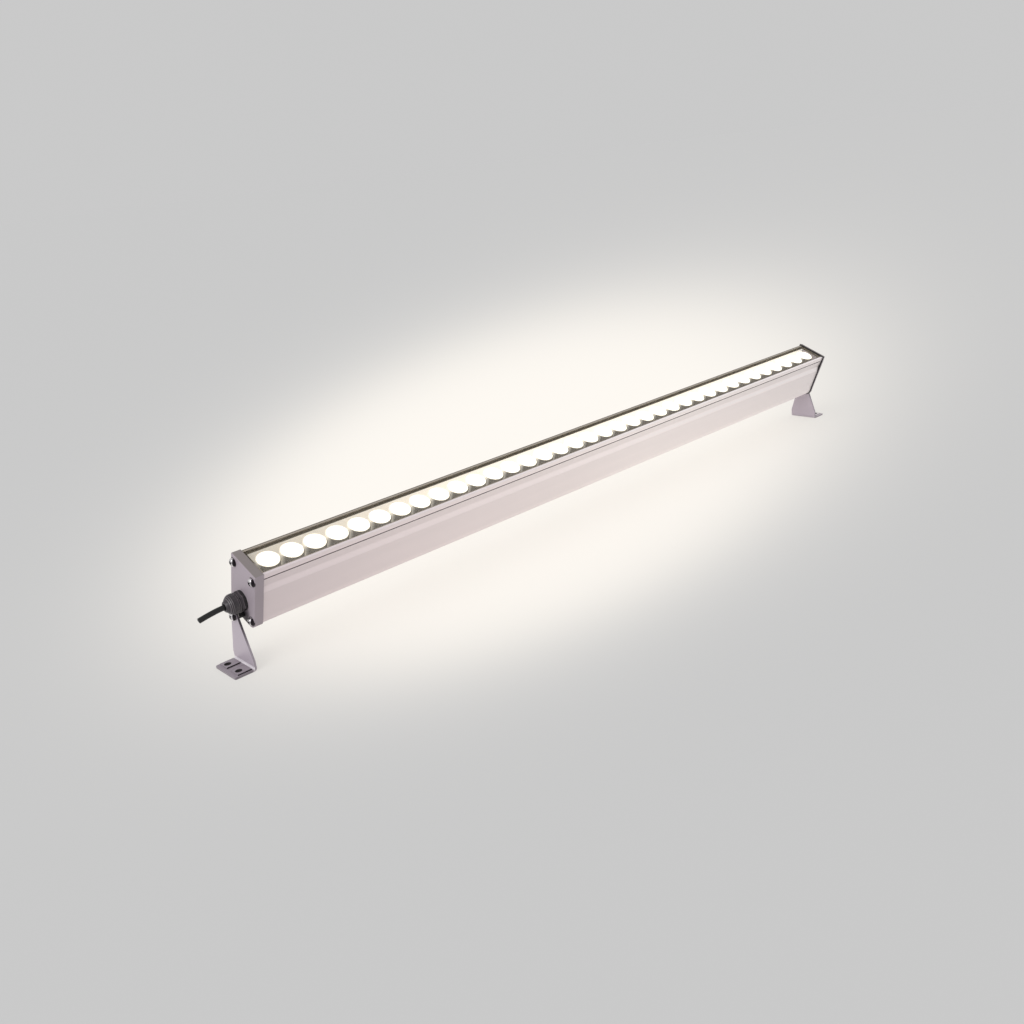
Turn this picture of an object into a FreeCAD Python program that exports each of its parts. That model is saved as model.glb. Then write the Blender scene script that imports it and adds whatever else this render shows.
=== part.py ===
import FreeCAD, Part
import Sketcher
import math
import os

# Outdoor LED wall washer: a one metre aluminium bar with a row of lensed lamps, closed by two end caps
# and carried by two tapered angle brackets. The bar tilts between the brackets about one axis along X.
#
# Row frame: millimetres, X along the bar with the cable at the -X end, Z up, Y level. The origin lies on
# the mounting surface, midway between the four holes of the two bracket feet.
# Lamp frame: the same directions before the tilt, with its origin on the pivot axis at mid length.
# "Near" is the cable end (-X), "far" is the blind end (+X).

NEAR = -1
FAR = 1

# Driving dimensions, in millimetres and degrees.
SIZES = {
    # The bar as a whole
    "bar_length": (1000.0, "outer face of one end cap to outer face of the other"),
    "cap_width": (45.0, "end cap across Y"),
    "cap_height": (70.0, "end cap from bottom to top"),
    "cap_corner": (8.0, "radius of the cap's two lower corners"),
    "cap_top_corner": (1.2, "radius of the cap's two upper corners"),
    "cap_edge": (0.4, "chamfer round the outer face of the near cap"),
    "cap_overhang": (1.25, "how far a cap stands out past the extrusion all round"),
    "near_cap_thickness": (10.0, "cap that holds the cable gland"),
    "far_cap_thickness": (3.0, "blind cap plate"),
    "near_gasket_thickness": (0.8, "gasket between near cap and extrusion"),
    "far_gasket_thickness": (1.2, "gasket between far cap and extrusion"),
    "far_gasket_lip": (0.3, "how far the far gasket stands out past its cap"),
    # Extrusion
    "wall": (2.5, "side wall of the driver chamber"),
    "floor_thickness": (3.0, "bottom wall"),
    "shelf_thickness": (3.0, "web that carries the lamp boards"),
    "chamber_wall": (6.05, "side wall of the lens chamber"),
    "side_groove_drop": (5.6, "top of the thin side groove, below the rim"),
    "side_groove_height": (1.1, "height of the thin side groove"),
    "side_groove_depth": (0.8, "depth of the thin side groove"),
    "waist_drop": (16.7, "deepest line of the shallow side waist, below the rim"),
    "waist_depth": (1.5, "depth of the shallow side waist"),
    "waist_end_drop": (24.2, "lower end of the side waist, below the rim"),
    "port_wall": (1.8, "wall left round a screw port"),
    # Glass
    "glass_drop": (0.3, "top of the glass below the rim"),
    "glass_thickness": (2.0, "toughened cover glass"),
    "glass_ledge": (2.6, "how far the glass lies on its ledge on each side"),
    "glass_side_gap": (0.5, "sealant round the edge of the glass"),
    "seal_thickness": (0.3, "sealant under the glass"),
    "seal_drop": (0.3, "top of the edge sealant below the top of the glass"),
    # Lamps
    "lens_side_gap": (3.45, "clear face of a lens to the side of its chamber"),
    "lens_spacing": (3.6, "from the clear face of one lens to the next, at the least even spacing"),
    "row_near_margin": (3.7, "near gasket to the first lamp board's share of the row"),
    "row_far_margin": (4.6, "end of the row of lamps to the far gasket"),
    "lens_height": (11.5, "lamp board to the top of a lens"),
    "lens_flange": (1.8, "thickness of the lens flange"),
    "lens_foot": (2.6, "lamp board to the foot of a lens"),
    "lens_foot_radius": (5.5, "foot of a lens"),
    "lens_gap": (0.2, "top of a lens to the glass seal"),
    "holder_wall": (0.8, "rim of a lens holder"),
    "fit_gap": (0.1, "clearance between plastic parts that fit together"),
    "emitter_width": (3.45, "square base of a lamp chip"),
    "emitter_base": (0.7, "height of the base of a lamp chip"),
    "emitter_dome": (1.35, "radius of the dome of a lamp chip"),
    "board_side_gap": (0.7, "lamp board to the side of its chamber"),
    "board_thickness": (1.6, "lamp boards and driver board"),
    "board_gap": (0.6, "gap between two lamp boards"),
    "tape_thickness": (0.3, "heat tape under a lamp board"),
    "board_screw_inset": (3.0, "board screws in from the edge of the board"),
    "board_screw_radius": (1.45, "M3 board screw"),
    "board_screw_head": (2.75, "head radius of a board screw"),
    "board_screw_head_height": (1.8, "head height of a board screw"),
    "link_length": (9.0, "connector that joins two lamp boards"),
    "link_width": (3.0, "connector across Y"),
    "link_height": (2.4, "connector above the board"),
    # Cap screws
    "screw_inset": (4.9, "cap screws in from the side of the cap"),
    "screw_top_drop": (9.0, "upper cap screws below the top of the cap"),
    "screw_bottom_rise": (9.3, "lower cap screws above the bottom of the cap"),
    "screw_radius": (1.55, "shank of a cap screw in its port"),
    "screw_length": (18.0, "cap screw under its head"),
    "screw_head_radius": (4.0, "pan head of a cap screw"),
    "screw_head_height": (3.4, "pan head of a cap screw"),
    "screw_recess_radius": (4.4, "counterbore round a screw head"),
    "screw_recess_depth": (0.6, "counterbore round a screw head"),
    "cross_width": (1.1, "arm width of the cross recess in a screw head"),
    "thread_gap": (0.05, "radial gap between a thread and its hole"),
    # Pivots and brackets
    "pivot_rise": (7.5, "pivot axis above the bottom of the cap"),
    "pivot_height": (56.0, "pivot axis above the mounting surface"),
    "tilt_angle": (23.3, "lean of the bar towards -Y"),
    "bolt_radius": (2.5, "M5 pivot bolt"),
    "bolt_reach": (12.0, "pivot bolt inside the extrusion's port"),
    "bolt_head_radius": (4.8, "pan head of a pivot bolt"),
    "bolt_head_height": (3.4, "pan head of a pivot bolt"),
    "bolt_cross_width": (1.5, "arm width of the cross recess in a bolt head"),
    "pivot_gap": (0.08, "radial gap between the bolt and the bracket's hole"),
    "pivot_play": (0.05, "gap on each face of a bracket's arm"),
    "spacer_length": (6.6, "spacer between cap and friction washer"),
    "spacer_radius": (4.7, "spacer"),
    "washer_radius": (5.0, "steel washer under the bolt head and friction washer"),
    "washer_thickness": (1.0, "steel washer under the bolt head"),
    "friction_thickness": (0.5, "friction washer between spacer and bracket"),
    "plate_thickness": (2.5, "bracket sheet"),
    "foot_half_width": (21.3, "half width of a bracket's foot"),
    "foot_reach": (22.2, "foot outward from the outer face of the arm"),
    "tip_radius": (5.5, "round tip of the arm"),
    "flank_angle": (19.0, "lean of each tapered flank of the arm"),
    "bend_radius": (1.0, "inside radius of the bracket's bend"),
    "foot_corner": (2.0, "radius of the foot's outer corners"),
    "foot_hole_radius": (3.25, "mounting hole in the foot"),
    "foot_hole_out": (12.9, "mounting hole outward from the outer face of the arm"),
    "foot_hole_y": (11.8, "mounting hole from the middle of the foot"),
    "foot_pad_height": (1.1, "pressed pad round a mounting hole"),
    "foot_pad_width": (15.5, "pressed pad across Y"),
    "foot_pad_length": (15.4, "pressed pad along X"),
    "foot_pad_start": (2.4, "pressed pad outward from the outer face of the arm"),
    # Cable gland
    "gland_rise": (16.5, "gland axis above the pivot axis"),
    "gland_washer_radius": (11.6, "sealing washer under the gland"),
    "gland_washer_thickness": (2.2, "sealing washer under the gland"),
    "gland_hex_width": (20.0, "hexagon of the gland body, across flats"),
    "gland_hex_length": (4.0, "hexagon of the gland body"),
    "gland_thread_radius": (7.6, "thread of the gland in the cap"),
    "gland_neck_radius": (8.0, "thread of the gland inside its nut"),
    "gland_bore_radius": (4.4, "bore of the gland body"),
    "gland_gap": (0.4, "gap between hexagon and nut"),
    "gland_nut_radius": (10.6, "dome nut"),
    "gland_nut_straight": (5.6, "straight part of the dome nut"),
    "gland_nut_length": (13.6, "dome nut"),
    "gland_mouth_radius": (4.2, "mouth of the dome nut"),
    "gland_nose_radius": (6.2, "outer rim of the dome nut's mouth"),
    "gland_nose_recess": (5.4, "cable leaves its seal this far inside the mouth"),
    # Supply cable
    "cable_diameter": (5.6, "jacket of the supply cable"),
    "tail_reach": (10.0, "cable inside the driver chamber"),
    "lead_diameter": (1.8, "insulated lead"),
    "lead_spread": (4.0, "distance between two leads"),
    # Driver
    "driver_start": (44.0, "near end of the driver tray from the end of the extrusion"),
    "driver_length": (192.0, "driver board"),
    "tray_side_gap": (1.05, "gap between driver tray and side wall"),
    "tray_wall": (1.2, "wall of the driver tray"),
    "tray_height": (7.5, "side of the driver tray above its floor"),
    "tray_margin": (1.5, "gap between driver board and tray wall"),
    "standoff": (3.5, "driver board above the tray"),
    "component_gap": (3.4, "gap between two components on the driver board"),
    "terminal_length": (10.0, "screw terminal along the bar"),
    "fuse_radius": (2.6, "fuse across the bar"),
    "fuse_length": (20.0, "fuse across the bar"),
    "varistor_thickness": (4.5, "disc varistor along the bar"),
    "varistor_width": (11.0, "disc varistor across the bar"),
    "varistor_height": (13.0, "disc varistor"),
    "film_thickness": (9.0, "film capacitor along the bar"),
    "film_width": (18.0, "film capacitor across the bar"),
    "film_height": (15.0, "film capacitor"),
    "choke_radius": (10.0, "ring choke"),
    "choke_hole": (4.0, "hole of the ring choke"),
    "choke_height": (10.0, "ring choke"),
    "slab_thickness": (4.6, "rectifier and transistor along the bar"),
    "rectifier_width": (15.0, "bridge rectifier across the bar"),
    "rectifier_height": (16.0, "bridge rectifier"),
    "bulk_radius": (8.0, "lying bulk capacitor"),
    "bulk_length": (28.0, "lying bulk capacitor"),
    "sink_thickness": (3.0, "heat sink along the bar, and foot of its transistor"),
    "sink_width": (24.0, "heat sink across the bar"),
    "sink_height": (20.0, "heat sink"),
    "transistor_width": (10.0, "switching transistor across the bar"),
    "transistor_height": (15.0, "switching transistor"),
    "core_depth": (12.0, "transformer core along the bar"),
    "core_half_width": (13.0, "half width of the transformer core"),
    "core_height": (22.0, "transformer core"),
    "core_leg": (4.0, "legs and yokes of the transformer core"),
    "winding_gap": (0.3, "gap between winding and core"),
    "winding_bulge": (4.5, "winding out past the core"),
    "output_can_radius": (5.0, "output capacitor"),
    "output_can_height": (16.0, "output capacitor"),
    "output_can_y": (7.0, "output capacitors from the middle of the bar"),
}

# Proportions of turned heads, as (share of the height, share of the radius) from the rim to the crown.
PAN_HEAD = ((0.4, 1.0), (0.8, 0.8), (1.0, 0.45))
BUTTON_HEAD = ((0.6, 1.0), (1.0, 0.6))
CHIP_DOME = ((0.5, 0.87), (1.0, 0.3))
GLAND_DOME = ((1, 0.06), (2, 0.2), (3, 0.42), (4, 0.7))
GLAND_DOME_STEPS = 6
GLAND_STEP_SHARE = 0.15
CROSS_REACH = 0.55
CROSS_DEPTH = 0.6
SHANK_POINT = 0.75
STUD_SHARE = 0.7
RUN_SHARE_OF_BEND = 0.45
EDGE_REACH = 0.3
HEX_SIDES = 6

# Route of the supply cable's free end, as outward distance from the near cap and rise above the gland's
# axis at that cap. The cable leaves its seal straight and sags to a cut end.
CABLE_ROUTE = [(17.4, 0.0), (26.4, 0.0), (35.3, -0.9), (43.3, -2.0), (51.0, -3.4)]

doc = FreeCAD.newDocument("wall_washer")
sheet = doc.addObject("Spreadsheet::Sheet", "sizes")


class Size:
    """A size as the number that it has now and the expression that gives it from the sheet."""

    def __init__(self, value, text=None):
        self.value = float(value)
        self.text = text if text is not None else repr(float(value))

    def _join(self, other, sign, result):
        return Size(result, "(%s %s %s)" % (self.text, sign, other.text))

    def __add__(self, other):
        other = as_size(other)
        return self._join(other, "+", self.value + other.value)

    def __sub__(self, other):
        other = as_size(other)
        return self._join(other, "-", self.value - other.value)

    def __mul__(self, other):
        other = as_size(other)
        return self._join(other, "*", self.value * other.value)

    def __truediv__(self, other):
        other = as_size(other)
        return self._join(other, "/", self.value / other.value)

    def __radd__(self, other):
        return as_size(other) + self

    def __rsub__(self, other):
        return as_size(other) - self

    def __rmul__(self, other):
        return as_size(other) * self

    def __neg__(self):
        return as_size(0) - self


def as_size(value):
    return value if isinstance(value, Size) else Size(value)


def cosine(angle):
    return Size(math.cos(math.radians(angle.value)), "cos(%s * 1 deg)" % angle.text)


def sine(angle):
    return Size(math.sin(math.radians(angle.value)), "sin(%s * 1 deg)" % angle.text)


class Sheet:
    """Every driving dimension as an attribute that holds a Size."""


def fill_sheet():
    values = Sheet()
    for row, (alias, (value, meaning)) in enumerate(SIZES.items(), start=1):
        sheet.set("A%d" % row, meaning)
        sheet.set("B%d" % row, str(value))
        sheet.setAlias("B%d" % row, alias)
        setattr(values, alias, Size(value, "sizes.%s" % alias))
    doc.recompute()
    return values


s = fill_sheet()

# Places that several pieces share, in the lamp frame.
cap_half = s.cap_width / 2
cap_top = s.cap_height - s.pivot_rise
cap_bottom = -s.pivot_rise
bar_half = cap_half - s.cap_overhang
rim = cap_top - s.cap_overhang
bar_bottom = cap_bottom + s.cap_overhang
bar_start = s.near_cap_thickness + s.near_gasket_thickness - s.bar_length / 2
bar_end = s.bar_length / 2 - s.far_cap_thickness - s.far_gasket_thickness
bar_middle = (bar_start + bar_end) / 2

glass_top = rim - s.glass_drop
glass_bottom = glass_top - s.glass_thickness
chamber_half = bar_half - s.chamber_wall
glass_half = chamber_half + s.glass_ledge
recess_half = glass_half + s.glass_side_gap
ledge = glass_bottom - s.seal_thickness
board_top = ledge - s.lens_gap - s.lens_height
shelf_top = board_top - s.board_thickness - s.tape_thickness
shelf_bottom = shelf_top - s.shelf_thickness
floor_top = bar_bottom + s.floor_thickness
port_radius = s.screw_radius + s.thread_gap
screw_top = cap_top - s.screw_top_drop
screw_bottom = cap_bottom + s.screw_bottom_rise
corner_ledge = screw_bottom + port_radius + s.port_wall
screw_y = cap_half - s.screw_inset
corner_side = screw_y - port_radius - s.port_wall
wall_inside = bar_half - s.wall

# The row of lamps fills the bar with as many lenses per board as the spacing lets in.
board_count = 3
row_start = bar_start + s.row_near_margin
row_length = bar_end - s.row_far_margin - row_start
lens_radius = chamber_half - s.lens_side_gap
closest_pitch = 2 * lens_radius + s.lens_spacing
lenses_per_board = max(1, round(row_length.value / (board_count * closest_pitch.value)))
lens_pitch = row_length / (board_count * lenses_per_board)
board_pitch = lens_pitch * lenses_per_board
board_length = board_pitch - s.board_gap
board_half = chamber_half - s.board_side_gap
board_screw_y = board_half - s.board_screw_inset
screw_gaps = (1, lenses_per_board // 2, lenses_per_board - 1)

# The driver tray lies on the two corner ledges of the lower chamber.
tray_start = bar_start + s.driver_start
tray_end = tray_start + s.driver_length + 2 * (s.tray_margin + s.tray_wall)
tray_bottom = corner_ledge
tray_half = wall_inside - s.tray_side_gap
driver_half = tray_half - s.tray_wall - s.tray_margin
driver_board_start = tray_start + s.tray_wall + s.tray_margin
driver_board_end = driver_board_start + s.driver_length
driver_board_bottom = tray_bottom + s.tray_wall + s.standoff
driver_board_top = driver_board_bottom + s.board_thickness

arm_inner = s.spacer_length + s.friction_thickness + s.pivot_play
arm_outer = arm_inner + s.plate_thickness
foot_bottom = -s.pivot_height
foot_top = foot_bottom + s.plate_thickness
foot_hole_out = arm_outer + s.foot_hole_out

made = []


# Helpers ---------------------------------------------------------------------------------------------

def outward(side, distance):
    """X at a distance outward from an end cap's outer face."""
    return side * (s.bar_length / 2 + distance)


def new_body(name):
    return doc.addObject("PartDesign::Body", name)


def sketch_on(body, role, offset):
    """A sketch on one of the body's own planes, moved along that plane's normal."""
    sketch = body.newObject("Sketcher::SketchObject", body.Name + "_sketch")
    plane = [item for item in body.Origin.OriginFeatures if item.Role == role][0]
    sketch.AttachmentSupport = [(plane, "")]
    sketch.MapMode = "FlatFace"
    offset = as_size(offset)
    sketch.AttachmentOffset = FreeCAD.Placement(FreeCAD.Vector(0, 0, offset.value), FreeCAD.Rotation())
    sketch.setExpression("AttachmentOffset.Base.z", offset.text)
    return sketch


def pin_point(sketch, geometry, corner, point):
    """Hold one sketch point at its distances from the sketch's origin."""
    for kind, size in zip(("DistanceX", "DistanceY"), point):
        size = as_size(size)
        index = sketch.addConstraint(Sketcher.Constraint(kind, -1, 1, geometry, corner, size.value))
        sketch.setExpression("Constraints[%d]" % index, size.text)


def draw_outline(sketch, points):
    """A closed outline of straight lines through the given points."""
    first = len(sketch.Geometry)
    corners = [FreeCAD.Vector(as_size(x).value, as_size(y).value, 0) for x, y in points]
    count = len(corners)
    for index in range(count):
        sketch.addGeometry(Part.LineSegment(corners[index], corners[(index + 1) % count]), False)
    for index in range(count):
        following = first + (index + 1) % count
        sketch.addConstraint(Sketcher.Constraint("Coincident", first + index, 2, following, 1))
    for index in range(count):
        pin_point(sketch, first + index, 1, points[index])


def draw_circle(sketch, x, y, radius):
    centre = FreeCAD.Vector(as_size(x).value, as_size(y).value, 0)
    circle = Part.Circle(centre, FreeCAD.Vector(0, 0, 1), radius.value)
    geometry = sketch.addGeometry(circle, False)
    pin_point(sketch, geometry, 3, (x, y))
    index = sketch.addConstraint(Sketcher.Constraint("Radius", geometry, radius.value))
    sketch.setExpression("Constraints[%d]" % index, radius.text)


def rectangle(half_x, low_y, high_y):
    return [(-half_x, low_y), (half_x, low_y), (half_x, high_y), (-half_x, high_y)]


def box_outline(low_x, high_x, low_y, high_y):
    return [(low_x, low_y), (high_x, low_y), (high_x, high_y), (low_x, high_y)]


def add_pad(body, sketch, length):
    pad = body.newObject("PartDesign::Pad", body.Name + "_pad")
    pad.Profile = sketch
    pad.setExpression("Length", as_size(length).text)
    body.Tip = pad
    doc.recompute()
    return pad


def add_pocket(body, sketch, length, reverse=False):
    """Cut a sketch into the body, against the sketch's normal unless it is reversed."""
    before = body.Shape.Volume
    pocket = body.newObject("PartDesign::Pocket", body.Name + "_pocket")
    pocket.Profile = sketch
    pocket.Reversed = reverse
    pocket.setExpression("Length", as_size(length).text)
    body.Tip = pocket
    doc.recompute()
    if body.Shape.Volume > before - 1e-6:
        raise ValueError("the pocket in %s cuts nothing" % body.Name)
    return pocket


def add_turning(body, profile, axis, rise=0):
    """Turn a closed profile of (along, radius) points about X at a height, or about Z."""
    sketch = sketch_on(body, "XZ_Plane", 0)
    if axis == "X":
        rise = as_size(rise)
        sketch.setExpression("AttachmentOffset.Base.y", rise.text)
        draw_outline(sketch, profile)
        reference = "H_Axis"
    else:
        draw_outline(sketch, [(radius, along) for along, radius in profile])
        reference = "V_Axis"
    turning = body.newObject("PartDesign::Revolution", body.Name + "_turning")
    turning.Profile = sketch
    turning.ReferenceAxis = (sketch, [reference])
    turning.Angle = 360
    body.Tip = turning
    doc.recompute()
    return turning


def dress_edges(body, kind, size, wanted):
    """Round or chamfer the edges that the test picks by their middle and direction."""
    shape = body.Shape.copy()
    shape.Placement = FreeCAD.Placement()
    names = []
    for number, edge in enumerate(shape.Edges, start=1):
        middle = edge.valueAt((edge.FirstParameter + edge.LastParameter) / 2)
        direction = edge.tangentAt(edge.FirstParameter)
        if wanted(middle, direction):
            names.append("Edge%d" % number)
    base = body.Tip
    dressing = body.newObject("PartDesign::" + kind, body.Name + "_" + kind.lower())
    dressing.Base = (base, names)
    dressing.setExpression("Radius" if kind == "Fillet" else "Size", size.text)
    body.Tip = dressing
    doc.recompute()


def along_x_at(y, z):
    """Test for an edge along X that passes through the given point, on either side of the middle."""
    def wanted(middle, direction):
        return (abs(abs(direction.x) - 1) < 1e-6 and abs(abs(middle.y) - y.value) < 1e-3
                and abs(middle.z - z.value) < 1e-3)
    return wanted


def extruded(name, start, length, outlines, circles=()):
    """A body with one cross section in the YZ plane and a length along X."""
    body = new_body(name)
    sketch = sketch_on(body, "YZ_Plane", start)
    for points in outlines:
        draw_outline(sketch, points)
    for y, z, radius in circles:
        draw_circle(sketch, y, z, radius)
    add_pad(body, sketch, length)
    return body


def raised(name, base, height, outlines, circles=()):
    """A body with one plan in the XY plane and a height along Z."""
    body = new_body(name)
    sketch = sketch_on(body, "XY_Plane", base)
    for points in outlines:
        draw_outline(sketch, points)
    for x, y, radius in circles:
        draw_circle(sketch, x, y, radius)
    add_pad(body, sketch, height)
    return body


def turned(name, profile, axis="X", rise=0):
    body = new_body(name)
    add_turning(body, profile, axis, rise)
    return body


def ring(low_x, high_x, inner, outer):
    """Profile of a plain ring or sleeve."""
    return [(low_x, inner), (high_x, inner), (high_x, outer), (low_x, outer)]


def pattern(name, master, places):
    """One node with a copy of the master body at every place."""
    copies = []
    for x, y, z in places:
        copy = master.Shape.copy()
        copy.translate(FreeCAD.Vector(as_size(x).value, as_size(y).value, as_size(z).value))
        copies.append(copy)
    feature = doc.addObject("Part::Feature", name)
    feature.Shape = Part.makeCompound(copies)
    return feature


def finish(piece, tilted=True):
    """Name a piece and put it in the row frame, leaning with the lamp or upright with a bracket."""
    piece.Label = piece.Name
    angle = s.tilt_angle if tilted else as_size(0)
    rotation = FreeCAD.Rotation(FreeCAD.Vector(1, 0, 0), angle.value)
    piece.Placement = FreeCAD.Placement(FreeCAD.Vector(0, 0, s.pivot_height.value), rotation)
    piece.setExpression(".Placement.Base.z", s.pivot_height.text)
    if tilted:
        piece.setExpression(".Placement.Rotation.Angle", angle.text)
    made.append(piece)
    return piece


def rounded_route(points):
    """A wire of straight runs joined by arcs that are as large as their two runs allow."""
    edges = []
    radii = []
    start = points[0]
    for before, corner, after in zip(points, points[1:], points[2:]):
        into = corner - before
        out_of = after - corner
        turn = into.getAngle(out_of)
        run = min(into.Length, out_of.Length)
        setback = RUN_SHARE_OF_BEND * run
        radii.append(setback / math.tan(turn / 2))
        into.normalize()
        out_of.normalize()
        arc_start = corner - into * setback
        arc_end = corner + out_of * setback
        bisector = out_of - into
        bisector.normalize()
        centre_distance = radii[-1] / math.cos(turn / 2)
        arc_middle = corner + bisector * (centre_distance - radii[-1])
        edges.append(Part.LineSegment(start, arc_start).toShape())
        edges.append(Part.Arc(arc_start, arc_middle, arc_end).toShape())
        start = arc_end
    edges.append(Part.LineSegment(start, points[-1]).toShape())
    return Part.Wire(edges), radii


def tube_along(points, diameter):
    """A solid round tube along a rounded route."""
    route, radii = rounded_route(points)
    first_run = points[1] - points[0]
    circle = Part.Wire(Part.Circle(points[0], first_run, diameter / 2).toShape())
    tube = route.makePipeShell([circle], True, False)
    expected = math.pi * diameter ** 2 / 4 * route.Length
    return tube, radii, route.Length, tube.Volume / expected


# Extrusion and glass ---------------------------------------------------------------------------------

def bar_outline():
    """Half of the extrusion's outer section is drawn, then mirrored: an open trough over a closed box."""
    groove_depth = bar_half - s.side_groove_depth
    groove_top = rim - s.side_groove_drop
    groove_end = groove_top - s.side_groove_height
    right = [
        (bar_half, bar_bottom),
        (bar_half, rim - s.waist_end_drop),
        (bar_half - s.waist_depth, rim - s.waist_drop),
        (bar_half, groove_end),
        (groove_depth, groove_end),
        (groove_depth, groove_top),
        (bar_half, groove_top),
        (bar_half, rim),
        (recess_half, rim),
        (recess_half, ledge),
        (chamber_half, ledge),
        (chamber_half, shelf_top),
    ]
    return right + [(-y, z) for y, z in reversed(right)]


def driver_chamber_outline():
    """The closed lower chamber goes round the two corner ports and the middle pivot port."""
    boss = s.bolt_radius + s.port_wall
    boss_chamfer = boss / 2
    right = [
        (boss, floor_top),
        (corner_side, floor_top),
        (corner_side, corner_ledge),
        (wall_inside, corner_ledge),
        (wall_inside, shelf_bottom),
    ]
    left = [(-y, z) for y, z in reversed(right)]
    over_boss = [(-boss, boss_chamfer), (-boss_chamfer, boss), (boss_chamfer, boss), (boss, boss_chamfer)]
    return right + left + over_boss


def cap_screw_places():
    return [(side * screw_y, z) for z in (screw_top, screw_bottom) for side in (-1, 1)]


def board_screw_places():
    """Three pairs of screws per board, each pair in the gap between two lenses."""
    places = []
    for board in range(board_count):
        for gap in screw_gaps:
            x = row_start + lens_pitch * (board * lenses_per_board + gap)
            for side in (-1, 1):
                places.append((x, side * board_screw_y))
    return places


def lead_gap():
    """The lamp leads come up in the first gap between two lenses past the driver that has no screw."""
    gap = math.ceil((driver_board_end - row_start).value / lens_pitch.value)
    while gap % lenses_per_board in (0,) + screw_gaps:
        gap += 1
    return gap


def lead_hole():
    return row_start + lens_pitch * lead_gap(), s.lead_diameter / 2 - board_screw_y, s.lead_diameter * 5 / 4


def earth_place():
    return bar_start + s.driver_start / 2, board_screw_y - s.lead_spread


def make_extrusion():
    ports = [(y, z, port_radius) for y, z in cap_screw_places()]
    ports.append((as_size(0), as_size(0), s.bolt_radius + s.thread_gap))
    body = extruded("housing_extrusion", bar_start, bar_end - bar_start,
                    [bar_outline(), driver_chamber_outline()], ports)
    dress_edges(body, "Fillet", s.cap_corner - s.cap_overhang, along_x_at(bar_half, bar_bottom))
    holes = sketch_on(body, "XY_Plane", shelf_top)
    for x, y in board_screw_places():
        draw_circle(holes, x, y, s.board_screw_radius + s.thread_gap)
    draw_circle(holes, *lead_hole())
    add_pocket(body, holes, s.shelf_thickness)
    tapped = sketch_on(body, "XY_Plane", shelf_bottom)
    earth_x, earth_y = earth_place()
    draw_circle(tapped, earth_x, earth_y, s.board_screw_radius + s.thread_gap)
    add_pocket(body, tapped, s.shelf_thickness - s.thread_gap * 10, reverse=True)
    finish(body)


def make_glass():
    half_length = (bar_end - bar_start) / 2 - s.glass_side_gap
    glass = raised("glass_cover", glass_bottom, s.glass_thickness,
                   [box_outline(bar_middle - half_length, bar_middle + half_length,
                                -glass_half, glass_half)])
    finish(glass)
    seal = raised("glass_seal", ledge, s.seal_thickness,
                  [box_outline(bar_start, bar_end, -recess_half, recess_half),
                   box_outline(bar_start + s.glass_ledge, bar_end - s.glass_ledge,
                               -chamber_half, chamber_half)])
    edge = sketch_on(seal, "XY_Plane", glass_bottom)
    draw_outline(edge, box_outline(bar_start, bar_end, -recess_half, recess_half))
    draw_outline(edge, box_outline(bar_middle - half_length, bar_middle + half_length,
                                   -glass_half, glass_half))
    add_pad(seal, edge, s.glass_thickness - s.seal_drop)
    finish(seal)


# Lamp boards, chips and lenses ------------------------------------------------------------------------

def make_boards():
    """Three lamp boards in a row, on heat tape on the shelf."""
    screw_places = board_screw_places()
    per_board = len(screw_places) // board_count
    names = ("near", "middle", "far")
    tapes = []
    for board, name in enumerate(names):
        centre = row_start + board_pitch * (board + 0.5)
        outline = box_outline(centre - board_length / 2, centre + board_length / 2,
                              -board_half, board_half)
        own_screws = screw_places[board * per_board:(board + 1) * per_board]
        holes = [(x, y, s.board_screw_radius + s.fit_gap) for x, y in own_screws]
        if board == lead_gap() // lenses_per_board:
            holes.append(lead_hole())
        finish(raised("led_board_" + name, board_top - s.board_thickness, s.board_thickness,
                      [outline], holes))
        tape = raised("tape_master_" + name, shelf_top, s.tape_thickness, [outline], holes)
        tapes.append(tape.Shape.copy())
    feature = doc.addObject("Part::Feature", "heat_tapes")
    feature.Shape = Part.makeCompound(tapes)
    finish(feature)


def lens_places(rise):
    first = row_start + lens_pitch / 2
    return [(first + lens_pitch * index, 0, rise) for index in range(lenses_per_board * board_count)]


def make_lamps():
    """Chip, holder and lens are turned once, then repeated along the row."""
    half = s.emitter_width / 2
    chip = raised("emitter_master", 0, s.emitter_base, [rectangle(half, -half, half)])
    dome = [(s.emitter_base + s.emitter_dome * up, s.emitter_dome * out) for up, out in CHIP_DOME]
    add_turning(chip, [(s.emitter_base, as_size(0)), (s.emitter_base, s.emitter_dome)] + dome
                + [(s.emitter_base + s.emitter_dome, as_size(0))], "Z")
    finish(pattern("led_emitters", chip, lens_places(board_top)))

    flange_bottom = s.lens_height - s.lens_flange
    holder_outer = lens_radius + s.fit_gap + s.holder_wall
    holder_step = lens_radius - s.holder_wall
    holder = turned("holder_master", [
        (as_size(0), holder_step - s.fit_gap),
        (as_size(0), holder_outer),
        (s.lens_height - s.fit_gap * 4, holder_outer),
        (s.lens_height - s.fit_gap * 4, lens_radius + s.fit_gap),
        (flange_bottom - s.fit_gap, lens_radius + s.fit_gap),
        (flange_bottom - s.fit_gap, holder_step - s.fit_gap)], "Z")
    finish(pattern("lens_holders", holder, lens_places(board_top)))

    cavity = s.emitter_width
    cone_top = holder_step - s.holder_wall
    lens = turned("lens_master", [
        (s.lens_foot, cavity),
        (s.lens_foot, s.lens_foot_radius),
        (flange_bottom, cone_top),
        (flange_bottom, lens_radius),
        (s.lens_height, lens_radius),
        (s.lens_height, as_size(0)),
        (s.lens_foot + cavity, as_size(0)),
        (s.lens_foot + cavity, cavity * 0.8)], "Z")
    finish(pattern("lenses", lens, lens_places(board_top)))


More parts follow.
